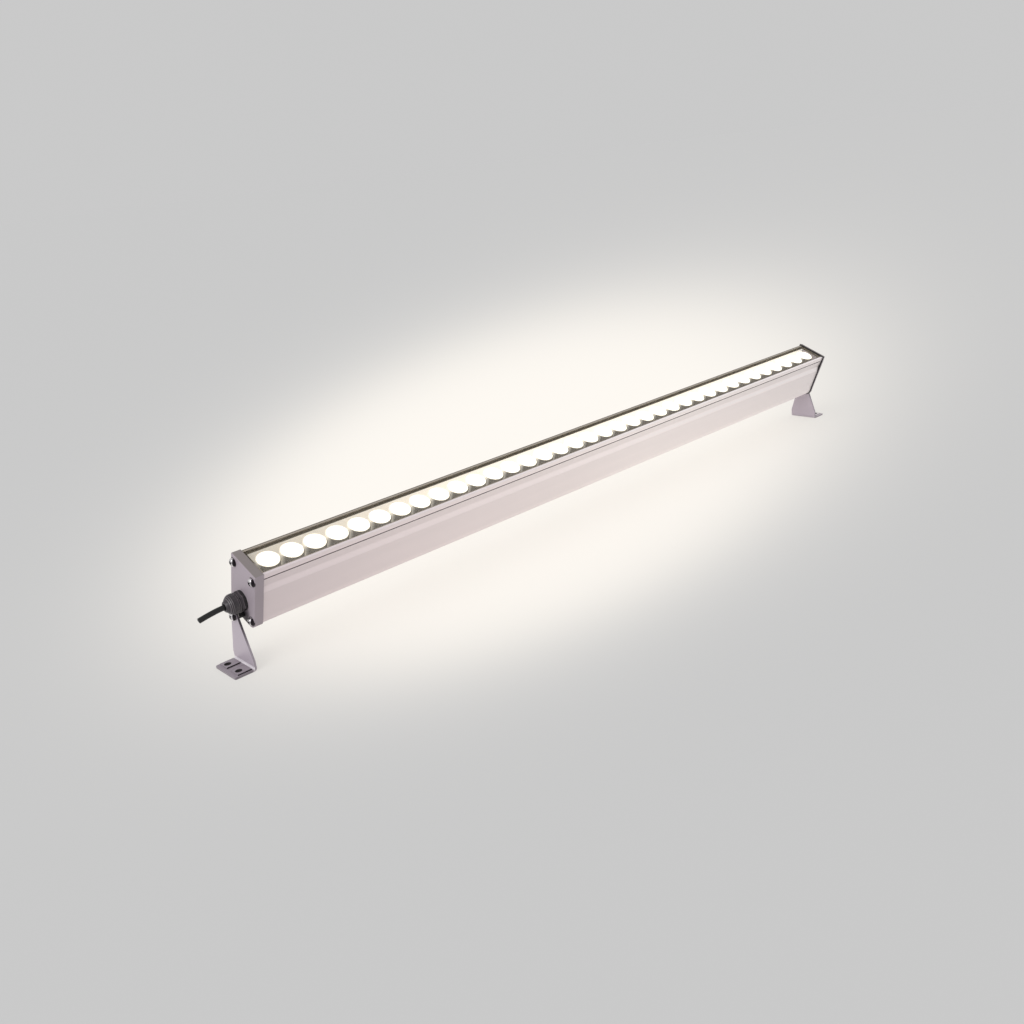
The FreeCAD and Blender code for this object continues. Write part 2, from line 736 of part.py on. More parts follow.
def make_board_hardware():
    head = s.board_screw_head_height
    shank = s.board_thickness + s.tape_thickness + s.shelf_thickness - s.fit_gap
    crown = [(head * up, s.board_screw_head * out) for up, out in BUTTON_HEAD]
    screw = turned("board_screw_master", [
        (-shank, as_size(0)), (-shank, s.board_screw_radius), (as_size(0), s.board_screw_radius),
        (as_size(0), s.board_screw_head)] + crown + [(head, as_size(0))], "Z")
    places = [(x, y, board_top) for x, y in board_screw_places()]
    finish(pattern("board_screws", screw, places))

    half = s.link_length / 2
    link = raised("link_master", 0, s.link_height,
                  [box_outline(-half, half, -s.link_width / 2, s.link_width / 2)])
    places = [(row_start + board_pitch * joint, side * board_screw_y, board_top)
              for joint in range(1, board_count) for side in (-1, 1)]
    finish(pattern("board_links", link, places))


# End caps and their hardware --------------------------------------------------------------------------

def cap_outline(margin):
    half = cap_half + margin
    return rectangle(half, cap_bottom - margin, cap_top + margin)


def make_cap(side):
    """A cap plate with four counterbored screw holes, a pivot hole and, near, the gland's hole."""
    thickness = s.near_cap_thickness if side == NEAR else s.far_cap_thickness
    name = "end_cap_near" if side == NEAR else "end_cap_far"
    start = outward(NEAR, 0) if side == NEAR else outward(FAR, 0) - thickness
    circles = [(y, z, port_radius + s.fit_gap) for y, z in cap_screw_places()]
    circles.append((as_size(0), as_size(0), s.bolt_radius + s.fit_gap))
    if side == NEAR:
        circles.append((as_size(0), s.gland_rise, s.gland_thread_radius + s.thread_gap))
    body = extruded(name, start, thickness, [cap_outline(0)], circles)
    dress_edges(body, "Fillet", s.cap_corner, along_x_at(cap_half, cap_bottom))
    dress_edges(body, "Fillet", s.cap_top_corner, along_x_at(cap_half, cap_top))
    recesses = sketch_on(body, "YZ_Plane", outward(side, 0))
    for y, z in cap_screw_places():
        draw_circle(recesses, y, z, s.screw_recess_radius)
    add_pocket(body, recesses, s.screw_recess_depth, reverse=(side == NEAR))
    if side == NEAR:
        face_x = outward(NEAR, 0).value
        reach = cap_half.value - EDGE_REACH * s.cap_top_corner.value
        low = cap_bottom.value + EDGE_REACH * s.cap_corner.value
        high = cap_top.value - EDGE_REACH * s.cap_top_corner.value

        def round_the_face(middle, direction):
            at_rim = abs(middle.y) > reach or middle.z > high or middle.z < low
            return abs(middle.x - face_x) < 1e-3 and at_rim
        dress_edges(body, "Chamfer", s.cap_edge, round_the_face)
    finish(body)


def make_cap_gasket(side):
    """The near gasket is flush with the extrusion, the far one stands out as a lip past its cap."""
    if side == NEAR:
        name, start, length = "cap_gasket_near", bar_start - s.near_gasket_thickness, s.near_gasket_thickness
        margin = -s.cap_overhang
    else:
        name, start, length = "cap_gasket_far", bar_end, s.far_gasket_thickness
        margin = s.far_gasket_lip
    window = rectangle(corner_side, s.bolt_radius + s.port_wall * 2, ledge - s.port_wall)
    circles = [(y, z, port_radius + s.fit_gap) for y, z in cap_screw_places()]
    circles.append((as_size(0), as_size(0), s.bolt_radius + s.fit_gap))
    body = extruded(name, start, length, [cap_outline(margin), window], circles)
    dress_edges(body, "Fillet", s.cap_corner + margin, along_x_at(cap_half + margin, cap_bottom - margin))
    finish(body)


def cross_outline(radius, width):
    """A plus sign, the recess of a cross head screw."""
    half = width / 2
    corners = [(radius, half), (half, half), (half, radius)]
    quarter_turns = [lambda y, z: (y, z), lambda y, z: (-z, y), lambda y, z: (-y, -z), lambda y, z: (z, -y)]
    points = []
    for turn in quarter_turns:
        points += [turn(y, z) for y, z in corners]
    return points


def headed_screw(name, side, seat, shank_radius, length, head_radius, head_height, cross):
    """A pan head screw along X. The seat is the outward distance of the underside of its head."""
    def at(distance):
        return outward(side, seat + distance)
    crown = [(at(head_height * up), head_radius * out) for up, out in PAN_HEAD]
    body = turned(name, [
        (at(-length), as_size(0)),
        (at(-length), shank_radius * SHANK_POINT),
        (at(-length + shank_radius / 2), shank_radius),
        (at(0), shank_radius),
        (at(0), head_radius)] + crown + [(at(head_height), as_size(0))])
    recess = sketch_on(body, "YZ_Plane", at(head_height))
    draw_outline(recess, cross_outline(head_radius * CROSS_REACH, cross))
    add_pocket(body, recess, head_height * CROSS_DEPTH, reverse=(side == NEAR))
    return body


def make_cap_screws(side):
    name = "cap_screws_near" if side == NEAR else "cap_screws_far"
    master = headed_screw(name + "_master", side, -s.screw_recess_depth, s.screw_radius, s.screw_length,
                          s.screw_head_radius, s.screw_head_height, s.cross_width)
    finish(pattern(name, master, [(0, y, z) for y, z in cap_screw_places()]))


# Pivots and brackets ----------------------------------------------------------------------------------

def make_pivot(side):
    """Spacer, friction washer, steel washer and bolt, in that order outward from the cap."""
    end = "near" if side == NEAR else "far"
    bore = s.bolt_radius + s.fit_gap
    finish(turned("pivot_spacer_" + end, ring(outward(side, 0), outward(side, s.spacer_length),
                                              bore, s.spacer_radius)))
    friction_end = s.spacer_length + s.friction_thickness
    finish(turned("friction_washer_" + end, ring(outward(side, s.spacer_length),
                                                 outward(side, friction_end), bore, s.washer_radius)))
    washer_start = arm_outer + s.pivot_play
    washer_end = washer_start + s.washer_thickness
    finish(turned("pivot_washer_" + end, ring(outward(side, washer_start), outward(side, washer_end),
                                              bore, s.washer_radius)))
    if side == NEAR:
        cap_stack = s.near_cap_thickness + s.near_gasket_thickness
    else:
        cap_stack = s.far_cap_thickness + s.far_gasket_thickness
    finish(headed_screw("pivot_bolt_" + end, side, washer_end, s.bolt_radius,
                        washer_end + cap_stack + s.bolt_reach, s.bolt_head_radius, s.bolt_head_height,
                        s.bolt_cross_width))


def arm_outline():
    """Arm plate from the foot up: upright sides, then two flanks that touch the round tip."""
    tangent_y = s.tip_radius * cosine(s.flank_angle)
    tangent_z = s.tip_radius * sine(s.flank_angle)
    taper = sine(s.flank_angle) / cosine(s.flank_angle)
    shoulder = tangent_z - (s.foot_half_width - tangent_y) / taper
    right = [(s.foot_half_width, foot_bottom), (s.foot_half_width, shoulder), (tangent_y, tangent_z)]
    return right + [(-y, z) for y, z in reversed(right)]


def make_bracket(side):
    """A bent sheet: a tapered arm with the pivot hole, and a foot with two holes on pressed pads."""
    name = "bracket_near" if side == NEAR else "bracket_far"
    start = outward(NEAR, arm_outer) if side == NEAR else outward(FAR, arm_inner)
    body = new_body(name)
    arm = sketch_on(body, "YZ_Plane", start)
    draw_outline(arm, arm_outline())
    add_pad(body, arm, s.plate_thickness)
    tip = sketch_on(body, "YZ_Plane", start)
    draw_circle(tip, 0, 0, s.tip_radius)
    add_pad(body, tip, s.plate_thickness)

    def foot_box(low_out, high_out, low_y, high_y):
        ends = [outward(side, low_out), outward(side, high_out)]
        if side == NEAR:
            ends.reverse()
        return box_outline(ends[0], ends[1], low_y, high_y)

    foot = sketch_on(body, "XY_Plane", foot_bottom)
    foot_end = arm_outer + s.foot_reach
    draw_outline(foot, foot_box(arm_inner, foot_end, -s.foot_half_width, s.foot_half_width))
    add_pad(body, foot, s.plate_thickness)

    inner_x = outward(side, arm_inner).value
    outer_x = outward(side, arm_outer).value
    end_x = outward(side, foot_end).value
    bottom_z = foot_bottom.value
    top_z = foot_top.value

    def near_to(a, b):
        return abs(a - b) < 1e-3

    dress_edges(body, "Fillet", s.bend_radius, lambda middle, direction:
                near_to(middle.x, outer_x) and near_to(middle.z, top_z) and near_to(abs(direction.y), 1))
    dress_edges(body, "Fillet", s.bend_radius + s.plate_thickness, lambda middle, direction:
                near_to(middle.x, inner_x) and near_to(middle.z, bottom_z) and near_to(abs(direction.y), 1))
    dress_edges(body, "Fillet", s.foot_corner, lambda middle, direction:
                near_to(middle.x, end_x) and near_to(abs(direction.z), 1))

    pads = sketch_on(body, "XY_Plane", foot_top)
    pad_start = arm_outer + s.foot_pad_start
    for hand in (-1, 1):
        middle = hand * s.foot_hole_y
        draw_outline(pads, foot_box(pad_start, pad_start + s.foot_pad_length,
                                    middle - s.foot_pad_width / 2, middle + s.foot_pad_width / 2))
    add_pad(body, pads, s.foot_pad_height)

    pivot_hole = sketch_on(body, "YZ_Plane", start)
    draw_circle(pivot_hole, 0, 0, s.bolt_radius + s.pivot_gap)
    add_pocket(body, pivot_hole, s.plate_thickness, reverse=True)
    foot_holes = sketch_on(body, "XY_Plane", foot_top + s.foot_pad_height)
    for hand in (-1, 1):
        draw_circle(foot_holes, outward(side, foot_hole_out), hand * s.foot_hole_y, s.foot_hole_radius)
    add_pocket(body, foot_holes, s.plate_thickness + s.foot_pad_height)
    finish(body, tilted=False)


# Cable gland and supply cable -------------------------------------------------------------------------

def hexagon(across_flats, rise):
    """A hexagon with a flat at the bottom, centred on the gland's axis."""
    corner = across_flats / math.sqrt(3)
    turns = [2 * math.pi * step / HEX_SIDES for step in range(HEX_SIDES)]
    return [(corner * math.cos(turn), rise + corner * math.sin(turn)) for turn in turns]


def make_gland():
    washer_end = s.gland_washer_thickness
    hex_end = washer_end + s.gland_hex_length
    nut_start = hex_end + s.gland_gap
    nut_end = nut_start + s.gland_nut_length
    seal_face = nut_end - s.gland_nose_recess
    neck_end = nut_start + s.gland_nut_length / 2
    finish(turned("gland_washer", ring(outward(NEAR, 0), outward(NEAR, washer_end),
                                       s.gland_thread_radius + s.fit_gap, s.gland_washer_radius),
                  rise=s.gland_rise))

    body = extruded("gland_body", outward(NEAR, hex_end), s.gland_hex_length,
                    [hexagon(s.gland_hex_width, s.gland_rise)])
    add_turning(body, [
        (outward(NEAR, neck_end), as_size(0)),
        (outward(NEAR, neck_end), s.gland_neck_radius),
        (outward(NEAR, washer_end), s.gland_neck_radius),
        (outward(NEAR, washer_end), s.gland_thread_radius),
        (outward(NEAR, -s.near_cap_thickness), s.gland_thread_radius),
        (outward(NEAR, -s.near_cap_thickness), as_size(0))], "X", s.gland_rise)
    bore = sketch_on(body, "YZ_Plane", outward(NEAR, neck_end))
    draw_circle(bore, 0, s.gland_rise, s.gland_bore_radius)
    add_pocket(body, bore, neck_end + s.near_cap_thickness, reverse=True)
    finish(body)

    seal_start = neck_end + s.fit_gap
    seal_outer = s.gland_mouth_radius + s.holder_wall * 2
    cable_radius = s.cable_diameter / 2
    finish(turned("gland_seal", ring(outward(NEAR, seal_start), outward(NEAR, seal_face),
                                     cable_radius + s.thread_gap, seal_outer - s.thread_gap),
                  rise=s.gland_rise))

    dome_start = nut_start + s.gland_nut_straight
    dome_length = nut_end - dome_start
    dome_step = dome_length / GLAND_DOME_STEPS
    nose = s.gland_nose_radius
    drop = s.gland_nut_radius - nose
    inside = s.gland_neck_radius + s.thread_gap
    dome = [(outward(NEAR, dome_start + dome_step * step), s.gland_nut_radius - drop * share)
            for step, share in GLAND_DOME]
    dome_end = GLAND_DOME[-1][0]
    nut = turned("gland_nut", [
        (outward(NEAR, nut_start), inside),
        (outward(NEAR, nut_start), s.gland_nut_radius),
        (outward(NEAR, dome_start), s.gland_nut_radius)] + dome + [
        (outward(NEAR, dome_start + dome_step * dome_end), nose + drop * GLAND_STEP_SHARE),
        (outward(NEAR, dome_start + dome_step * (dome_end + 1)), nose),
        (outward(NEAR, nut_end), nose),
        (outward(NEAR, nut_end), s.gland_mouth_radius),
        (outward(NEAR, seal_face), s.gland_mouth_radius),
        (outward(NEAR, seal_face), seal_outer),
        (outward(NEAR, seal_start), seal_outer),
        (outward(NEAR, seal_start), inside)], rise=s.gland_rise)
    finish(nut)
    return seal_face


def make_cable(seal_face):
    """The free end sags in a level plane of the row frame, so its route is turned back by the tilt."""
    tilt = math.radians(s.tilt_angle.value)
    points = []
    for out, rise in CABLE_ROUTE:
        y = rise * math.sin(tilt)
        z = s.gland_rise.value + rise * math.cos(tilt)
        points.append(FreeCAD.Vector(outward(NEAR, out).value, y, z))
    start = FreeCAD.Vector(outward(NEAR, seal_face).value, 0, s.gland_rise.value)
    shift = start - points[0]
    points = [point + shift for point in points]
    tube, radii, length, fullness = tube_along(points, s.cable_diameter.value)
    feature = doc.addObject("Part::Feature", "supply_cable")
    feature.Shape = tube
    finish(feature)
    print("supply cable: length %.1f, radii %s, volume ratio %.4f"
          % (length, ["%.1f" % radius for radius in radii], fullness))
    tail_end = bar_start + s.tail_reach
    radius = s.cable_diameter / 2
    finish(turned("cable_tail", [
        (outward(NEAR, seal_face), as_size(0)), (outward(NEAR, seal_face), radius),
        (tail_end, radius), (tail_end, as_size(0))], rise=s.gland_rise))


# Driver -----------------------------------------------------------------------------------------------

def block(name, start, length, width, base, height):
    return raised(name, base, height, [box_outline(start, start + length, -width / 2, width / 2)])


def make_tray():
    """An insulating tray across the two corner ledges of the lower chamber, with four standoffs."""
    tray = raised("driver_tray", tray_bottom, s.tray_wall,
                  [box_outline(tray_start, tray_end, -tray_half, tray_half)])
    sides = sketch_on(tray, "XY_Plane", tray_bottom + s.tray_wall)
    draw_outline(sides, box_outline(tray_start, tray_end, -tray_half, tray_half))
    inner = tray_half - s.tray_wall
    draw_outline(sides, box_outline(tray_start + s.tray_wall, tray_end - s.tray_wall, -inner, inner))
    add_pad(tray, sides, s.tray_height)
    studs = sketch_on(tray, "XY_Plane", tray_bottom + s.tray_wall)
    inset = s.standoff
    for x in (driver_board_start + inset, driver_board_end - inset):
        for y in (inset - driver_half, driver_half - inset):
            draw_circle(studs, x, y, s.standoff * STUD_SHARE)
    add_pad(tray, studs, s.standoff)
    finish(tray)
    finish(block("driver_board", driver_board_start, s.driver_length, driver_half * 2,
                 driver_board_bottom, s.board_thickness))


def make_components():
    """The driver's parts stand in one row on its board, from the mains end to the lamp end."""
    gap = s.component_gap
    top = driver_board_top
    x = driver_board_start + gap
    terminal_height = 2 * (s.gland_rise - top)
    finish(block("input_terminal", x, s.terminal_length, s.lead_spread * 4, top, terminal_height))
    x = x + s.terminal_length + gap
    fuse = new_body("mains_fuse")
    sketch = sketch_on(fuse, "XZ_Plane", -s.fuse_length / 2)
    draw_circle(sketch, x + s.fuse_radius, top + s.fuse_radius, s.fuse_radius)
    add_pad(fuse, sketch, s.fuse_length)
    finish(fuse)
    x = x + s.fuse_radius * 2 + gap
    finish(block("surge_varistor", x, s.varistor_thickness, s.varistor_width, top, s.varistor_height))
    x = x + s.varistor_thickness + gap
    finish(block("suppression_capacitor", x, s.film_thickness, s.film_width, top, s.film_height))
    x = x + s.film_thickness + gap + s.choke_radius
    finish(raised("mains_choke", top, s.choke_height, [], [(x, 0, s.choke_radius), (x, 0, s.choke_hole)]))
    x = x + s.choke_radius + gap
    finish(block("bridge_rectifier", x, s.slab_thickness, s.rectifier_width, top, s.rectifier_height))
    x = x + s.slab_thickness + gap
    finish(turned("bulk_capacitor", [(x, as_size(0)), (x, s.bulk_radius), (x + s.bulk_length, s.bulk_radius),
                                     (x + s.bulk_length, as_size(0))], rise=top + s.bulk_radius))
    x = x + s.bulk_length + gap
    finish(block("transistor_heat_sink", x, s.sink_thickness, s.sink_width, top, s.sink_height))
    x = x + s.sink_thickness
    finish(block("switching_transistor", x, s.slab_thickness, s.transistor_width, top + s.sink_thickness,
                 s.transistor_height))
    winding_reach = s.core_depth / 2 + s.winding_bulge
    x = x + s.slab_thickness + gap + winding_reach
    make_transformer(x, top, winding_reach)
    x = x + winding_reach + gap + s.output_can_radius
    can = turned("output_capacitor_master", [
        (as_size(0), as_size(0)), (as_size(0), s.output_can_radius),
        (s.output_can_height, s.output_can_radius), (s.output_can_height, as_size(0))], "Z")
    finish(pattern("output_capacitors", can, [(x, side * s.output_can_y, top) for side in (-1, 1)]))
    x = x + s.output_can_radius + gap
    finish(block("output_terminal", x, s.terminal_length, s.lead_spread * 3, top, terminal_height))
    return x + s.terminal_length


def make_transformer(middle_x, base, winding_reach):
    """A framed ferrite core whose middle leg carries the winding."""
    leg = s.core_leg
    window_side = s.core_half_width - leg
    window_top = base + s.core_height - leg
    frame = extruded("transformer_core", middle_x - s.core_depth / 2, s.core_depth, [
        rectangle(s.core_half_width, base, base + s.core_height),
        box_outline(leg, window_side, base + leg, window_top),
        box_outline(-window_side, -leg, base + leg, window_top)])
    finish(frame)
    gap = s.winding_gap
    outer_y = window_side - gap
    inner_x = s.core_depth / 2 + gap
    winding = raised("transformer_winding", base + leg + gap, s.core_height - (leg + gap) * 2, [
        box_outline(middle_x - winding_reach, middle_x + winding_reach, -outer_y, outer_y),
        box_outline(middle_x - inner_x, middle_x + inner_x, -leg - gap, leg + gap)])
    finish(winding)


def make_leads(output_end):
    """Mains leads from the cable's tail to the driver, lamp leads from the driver up through the shelf."""
    diameter = s.lead_diameter.value
    rise = s.gland_rise.value
    tail_end = (bar_start + s.tail_reach).value
    terminal_start = (driver_board_start + s.component_gap).value
    spread = s.lead_spread.value
    leads = []
    for hand in (-1, 1):
        start = FreeCAD.Vector(tail_end, hand * diameter * 0.6, rise)
        bend = FreeCAD.Vector(tail_end + spread * 2, hand * diameter * 0.6, rise)
        lean = FreeCAD.Vector(terminal_start - spread * 2, hand * spread / 2, rise)
        end = FreeCAD.Vector(terminal_start, hand * spread / 2, rise)
        leads.append(tube_along([start, bend, lean, end], diameter)[0])
    feature = doc.addObject("Part::Feature", "mains_leads")
    feature.Shape = Part.makeCompound(leads)
    finish(feature)

    earth_x, earth_y = earth_place()
    tag_bottom = (shelf_bottom - s.friction_thickness).value
    earth_reach = s.board_screw_head.value + diameter
    earth_end = FreeCAD.Vector(earth_x.value, earth_y.value - earth_reach, tag_bottom)
    start = FreeCAD.Vector(tail_end, 0, rise + diameter * 1.2)
    route = [start, start + FreeCAD.Vector(spread, 0, 0),
             FreeCAD.Vector(earth_end.x, earth_end.y, rise + spread * 2),
             FreeCAD.Vector(earth_end.x, earth_end.y, tag_bottom)]
    feature = doc.addObject("Part::Feature", "earth_lead")
    feature.Shape = tube_along(route, diameter)[0]
    finish(feature)
    tag = raised("earth_tag", shelf_bottom - s.friction_thickness, s.friction_thickness,
                 [box_outline(earth_x - s.board_screw_head, earth_x + s.board_screw_head,
                              earth_y - s.board_screw_head - s.lead_diameter * 1.6,
                              earth_y + s.board_screw_head)],
                 [(earth_x, earth_y, s.board_screw_radius + s.fit_gap)])
    finish(tag)
    head = s.board_screw_head_height
    seat = shelf_bottom - s.friction_thickness
    depth = s.friction_thickness + s.shelf_thickness / 2
    crown = [(-head * up, s.board_screw_head * out) for up, out in BUTTON_HEAD]
    screw = turned("earth_screw_master", [
        (depth, as_size(0)), (depth, s.board_screw_radius), (as_size(0), s.board_screw_radius),
        (as_size(0), s.board_screw_head)] + crown + [(-head, as_size(0))], "Z")
    finish(pattern("earth_screw", screw, [(earth_x, earth_y, seat)]))

    hole_x, hole_y = lead_hole()[:2]
    top_z = (board_top + s.link_height / 2).value
    leads = []
    for hand in (-1, 1):
        start = FreeCAD.Vector(output_end.value, hand * spread / 2, rise)
        across = hand * (diameter / 2 + s.fit_gap.value)
        foot = FreeCAD.Vector(hole_x.value + across, hole_y.value, (shelf_bottom - s.standoff * 2).value)
        mid = FreeCAD.Vector(output_end.value + spread * 1.5, hand * spread / 2, rise)
        end = FreeCAD.Vector(hole_x.value + across, hole_y.value, top_z)
        leads.append(tube_along([start, mid, foot, end], diameter)[0])
    feature = doc.addObject("Part::Feature", "lamp_leads")
    feature.Shape = Part.makeCompound(leads)
    finish(feature)


# Build, check and write -------------------------------------------------------------------------------

def build():
    make_extrusion()
    make_glass()
    make_boards()
    make_lamps()
    make_board_hardware()
    for side in (NEAR, FAR):
        make_cap(side)
        make_cap_gasket(side)
        make_cap_screws(side)
        make_pivot(side)
        make_bracket(side)
    seal_face = make_gland()
    make_cable(seal_face)
    make_tray()
    output_end = make_components()
    make_leads(output_end)
    doc.recompute()


def check():
    for item in doc.Objects:
        if "Invalid" in item.State or "Error" in item.State:
            raise ValueError("%s did not recompute: %s" % (item.Name, item.State))
    for piece in made:
        if piece.Shape.isNull() or not piece.Shape.isValid():
            raise ValueError("%s has no valid shape" % piece.Name)
        if not piece.Shape.Solids:
            raise ValueError("%s has no solid" % piece.Name)


def write():
    os.makedirs("parts", exist_ok=True)
    for piece in made:
        piece.Shape.exportStep("parts/%s.step" % piece.Label)
    print("%d nodes, %d solids" % (len(made), sum(len(piece.Shape.Solids) for piece in made)))


build()
check()
write()
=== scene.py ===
# %% [markdown]
# # One metre of light for an outside wall
#
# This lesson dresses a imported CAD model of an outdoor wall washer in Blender. The lamp is a one metre
# aluminium bar with a row of lensed lights under glass. Two end caps close it, two bent sheet brackets
# carry it, and a cable goes into the near cap through a gland.
#
# The CAD model already holds every piece in its place. So the lesson adds what CAD leaves out: rounded
# edges, fine forms that repeat, and a finish for each surface.

import math

import bmesh
import bpy
from mathutils import Euler, Matrix, Vector


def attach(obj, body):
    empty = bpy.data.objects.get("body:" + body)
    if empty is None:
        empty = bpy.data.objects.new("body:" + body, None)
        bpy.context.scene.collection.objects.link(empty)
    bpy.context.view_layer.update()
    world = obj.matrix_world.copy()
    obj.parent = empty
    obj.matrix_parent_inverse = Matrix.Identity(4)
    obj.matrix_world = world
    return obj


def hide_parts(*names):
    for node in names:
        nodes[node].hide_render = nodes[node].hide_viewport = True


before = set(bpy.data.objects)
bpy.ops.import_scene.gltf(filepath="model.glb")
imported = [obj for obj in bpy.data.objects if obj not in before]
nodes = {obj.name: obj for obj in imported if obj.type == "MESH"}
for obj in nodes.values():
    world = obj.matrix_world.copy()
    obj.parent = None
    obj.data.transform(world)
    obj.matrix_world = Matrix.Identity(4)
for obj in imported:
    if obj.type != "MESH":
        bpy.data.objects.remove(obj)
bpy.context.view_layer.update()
print("packed nodes:", len(nodes))

# %% [markdown]
# ## Two frames
#
# The whole model stands on the floor at Z = 0, with X along the bar. The bar itself leans forward about
# the pivot axis. It is easier to give sizes in the lamp's own upright frame and turn the finished mesh
# once, so this matrix goes from the lamp's frame to the floor's.

# %% The lamp's frame
MM = 0.001
LEAN = math.radians(23.3)
PIVOT_HEIGHT = 56 * MM
LAMP_TO_FLOOR = Matrix.Translation((0, 0, PIVOT_HEIGHT)) @ Matrix.Rotation(LEAN, 4, "X")
collection = bpy.context.scene.collection
print("lean: %.1f degrees" % math.degrees(LEAN))


def add_object(name, data):
    piece = bpy.data.objects.new(name, data)
    collection.objects.link(piece)
    return piece


# %% [markdown]
# ## The camera
#
# The camera stands low, in front of the lamp and beyond its near end, about 1.3 metres from its middle.
# Its focal length is given in pixels of a square picture, as a fit to points on a photograph of the lamp
# gives it, and turned into the millimetres that Blender wants.

# %% Place the camera
PICTURE_WIDTH = 1024
FOCAL_LENGTH = 1003.7
CAMERA_PLACE = (-0.8818, -0.8914, 0.4573)
CAMERA_TURN = (70.307, 6.519, -42.356)

camera_data = bpy.data.cameras.new("camera")
camera_data.sensor_width = 36
camera_data.lens = camera_data.sensor_width * FOCAL_LENGTH / PICTURE_WIDTH
camera = add_object("camera", camera_data)
camera.location = CAMERA_PLACE
camera.rotation_euler = [math.radians(angle) for angle in CAMERA_TURN]
bpy.context.scene.camera = camera
print("focal length: %.1f mm" % camera_data.lens)

# %% [markdown]
# ## The supply cable
#
# A short end of round rubber cable leaves the gland, sags a little and ends where it was cut. One smooth
# NURBS curve through a few control points bends as such a cable does. The curve's order is set after its
# points, because before that it has too few points to keep it.

# %% Lay the cable
CABLE_DIAMETER = 5.6 * MM
CORE_REACH = 0.4 * MM
CABLE_POINTS = [
    (-0.5148, -0.006527, 0.071154),
    (-0.5238, -0.006527, 0.071154),
    (-0.5327, -0.006527, 0.070254),
    (-0.5407, -0.006527, 0.069154),
    (-0.5484, -0.006527, 0.067754),
]

cable_end = Vector(CABLE_POINTS[-1])
cable_way = (cable_end - Vector(CABLE_POINTS[-2])).normalized()
cable_line = bpy.data.curves.new("supply_cable_jacket", "CURVE")
cable_line.dimensions = "3D"
cable_line.bevel_depth = CABLE_DIAMETER / 2
cable_line.bevel_resolution = 8
cable_line.resolution_u = 12
cable_line.use_fill_caps = True
spline = cable_line.splines.new("NURBS")
spline.points.add(len(CABLE_POINTS) - 1)
for point, place in zip(spline.points, CABLE_POINTS[:-1] + [cable_end - cable_way * CORE_REACH]):
    point.co = (*place, 1)
spline.order_u = 3
spline.use_endpoint_u = True
cable = add_object("supply_cable_jacket", cable_line)
print("cable points:", len(CABLE_POINTS))

# %% [markdown]
# ## Sums and products on sockets
#
# A pattern is a formula on numbers that change over the surface. Wired by hand, a formula soon becomes a
# web of Math nodes. This small class wraps one node output, so Python's own signs add those nodes. Its
# method `node` makes any other node. Geometry Nodes trees use the same class.

# %% A socket that does arithmetic


class Socket:
    """One output of a node in a tree."""

    def __init__(self, tree, output=None):
        self.tree = tree
        self.output = output

    def node(self, kind, settings=None, sockets=None, take=0):
        """A node of a type, its settings first, then the values or links of its sockets."""
        made = self.tree.nodes.new(kind)
        for key, value in (settings or {}).items():
            setattr(made, key, value)
        for key, value in (sockets or {}).items():
            if isinstance(value, Socket):
                self.tree.links.new(value.output, made.inputs[key])
            else:
                made.inputs[key].default_value = value
        return Socket(self.tree, made.outputs[take] if made.outputs else None)

    def maths(self, operation, *others):
        return self.node("ShaderNodeMath", {"operation": operation}, dict(enumerate((self, *others))))

    def __add__(self, other):
        return self.maths("ADD", other)

    def __sub__(self, other):
        return self.maths("SUBTRACT", other)

    def __rsub__(self, other):
        return self.node("ShaderNodeMath", {"operation": "SUBTRACT"}, {0: other, 1: self})

    def __mul__(self, other):
        return self.maths("MULTIPLY", other)

    def __truediv__(self, other):
        return self.maths("DIVIDE", other)

    def __pow__(self, other):
        return self.maths("POWER", other)

    def __lt__(self, other):
        return self.maths("LESS_THAN", other)

    def __gt__(self, other):
        return self.maths("GREATER_THAN", other)

    __radd__ = __add__
    __rmul__ = __mul__


# %% [markdown]
# ## Colours and places
#
# Screen colours are turned into linear light once, in Python. A pattern needs a place to be read at. The
# Object coordinates are turned with the lean of the lamp, and counted in grains: a grain that is long in
# X and short across gives the lines of drawn metal, and one that is equal all ways gives a cast skin.

# %% Colours and grains
BLACK = (0.0, 0.0, 0.0)


def rgb(red, green, blue):
    """A screen colour, 0 to 255, as linear light."""
    levels = [level / 255 for level in (red, green, blue)]
    return tuple(level / 12.92 if level <= 0.04045 else ((level + 0.055) / 1.055) ** 2.4
                 for level in levels)


def scaled(colour, share):
    return tuple(min(1.0, level * share) for level in colour)


def in_grains(start, size, leaning=True):
    """Places on a piece, counted in grains of a size in millimetres along the bar, across it and up."""
    here = start.node("ShaderNodeTexCoord", take=3)
    return start.node("ShaderNodeMapping", {"vector_type": "TEXTURE"}, {
        "Vector": here,
        "Location": (0, 0, PIVOT_HEIGHT),
        "Rotation": (LEAN if leaning else 0, 0, 0),
        "Scale": [edge * MM for edge in size]})


def noise(start, size, leaning=True, detail=3.0):
    """Even noise from 0 to 1 with its middle at 0.5."""
    return start.node("ShaderNodeTexNoise", None, {
        "Vector": in_grains(start, size, leaning), "Scale": 1.0, "Detail": detail, "Roughness": 0.6})


def apart(start, size=(1, 1, 1), leaning=True):
    """The three numbers of a place, in millimetres unless a grain size is given."""
    spot = in_grains(start, size, leaning)
    return [start.node("ShaderNodeSeparateXYZ", None, {0: spot}, take=axis) for axis in range(3)]


# %% [markdown]
# ## Shares of a finish
#
# Most marks on a surface say how much of a colour lies where: all of it here, none there, and even
# between. Four short formulas give such a share from 0 to 1. Some marks lie only on faces that look one
# way, which `looking` tells from the face's normal.

# %% Shares and mixes
UPWARDS = (0, 0, 1)
FRONTWARDS = (0, -1, 0)
NEARWARDS = (-1, 0, 0)
LAMP_UP = (0, -math.sin(LEAN), math.cos(LEAN))
FLAT_TURN = (0.6, 0.95)
SIDE_TURN = (0.5, 0.9)


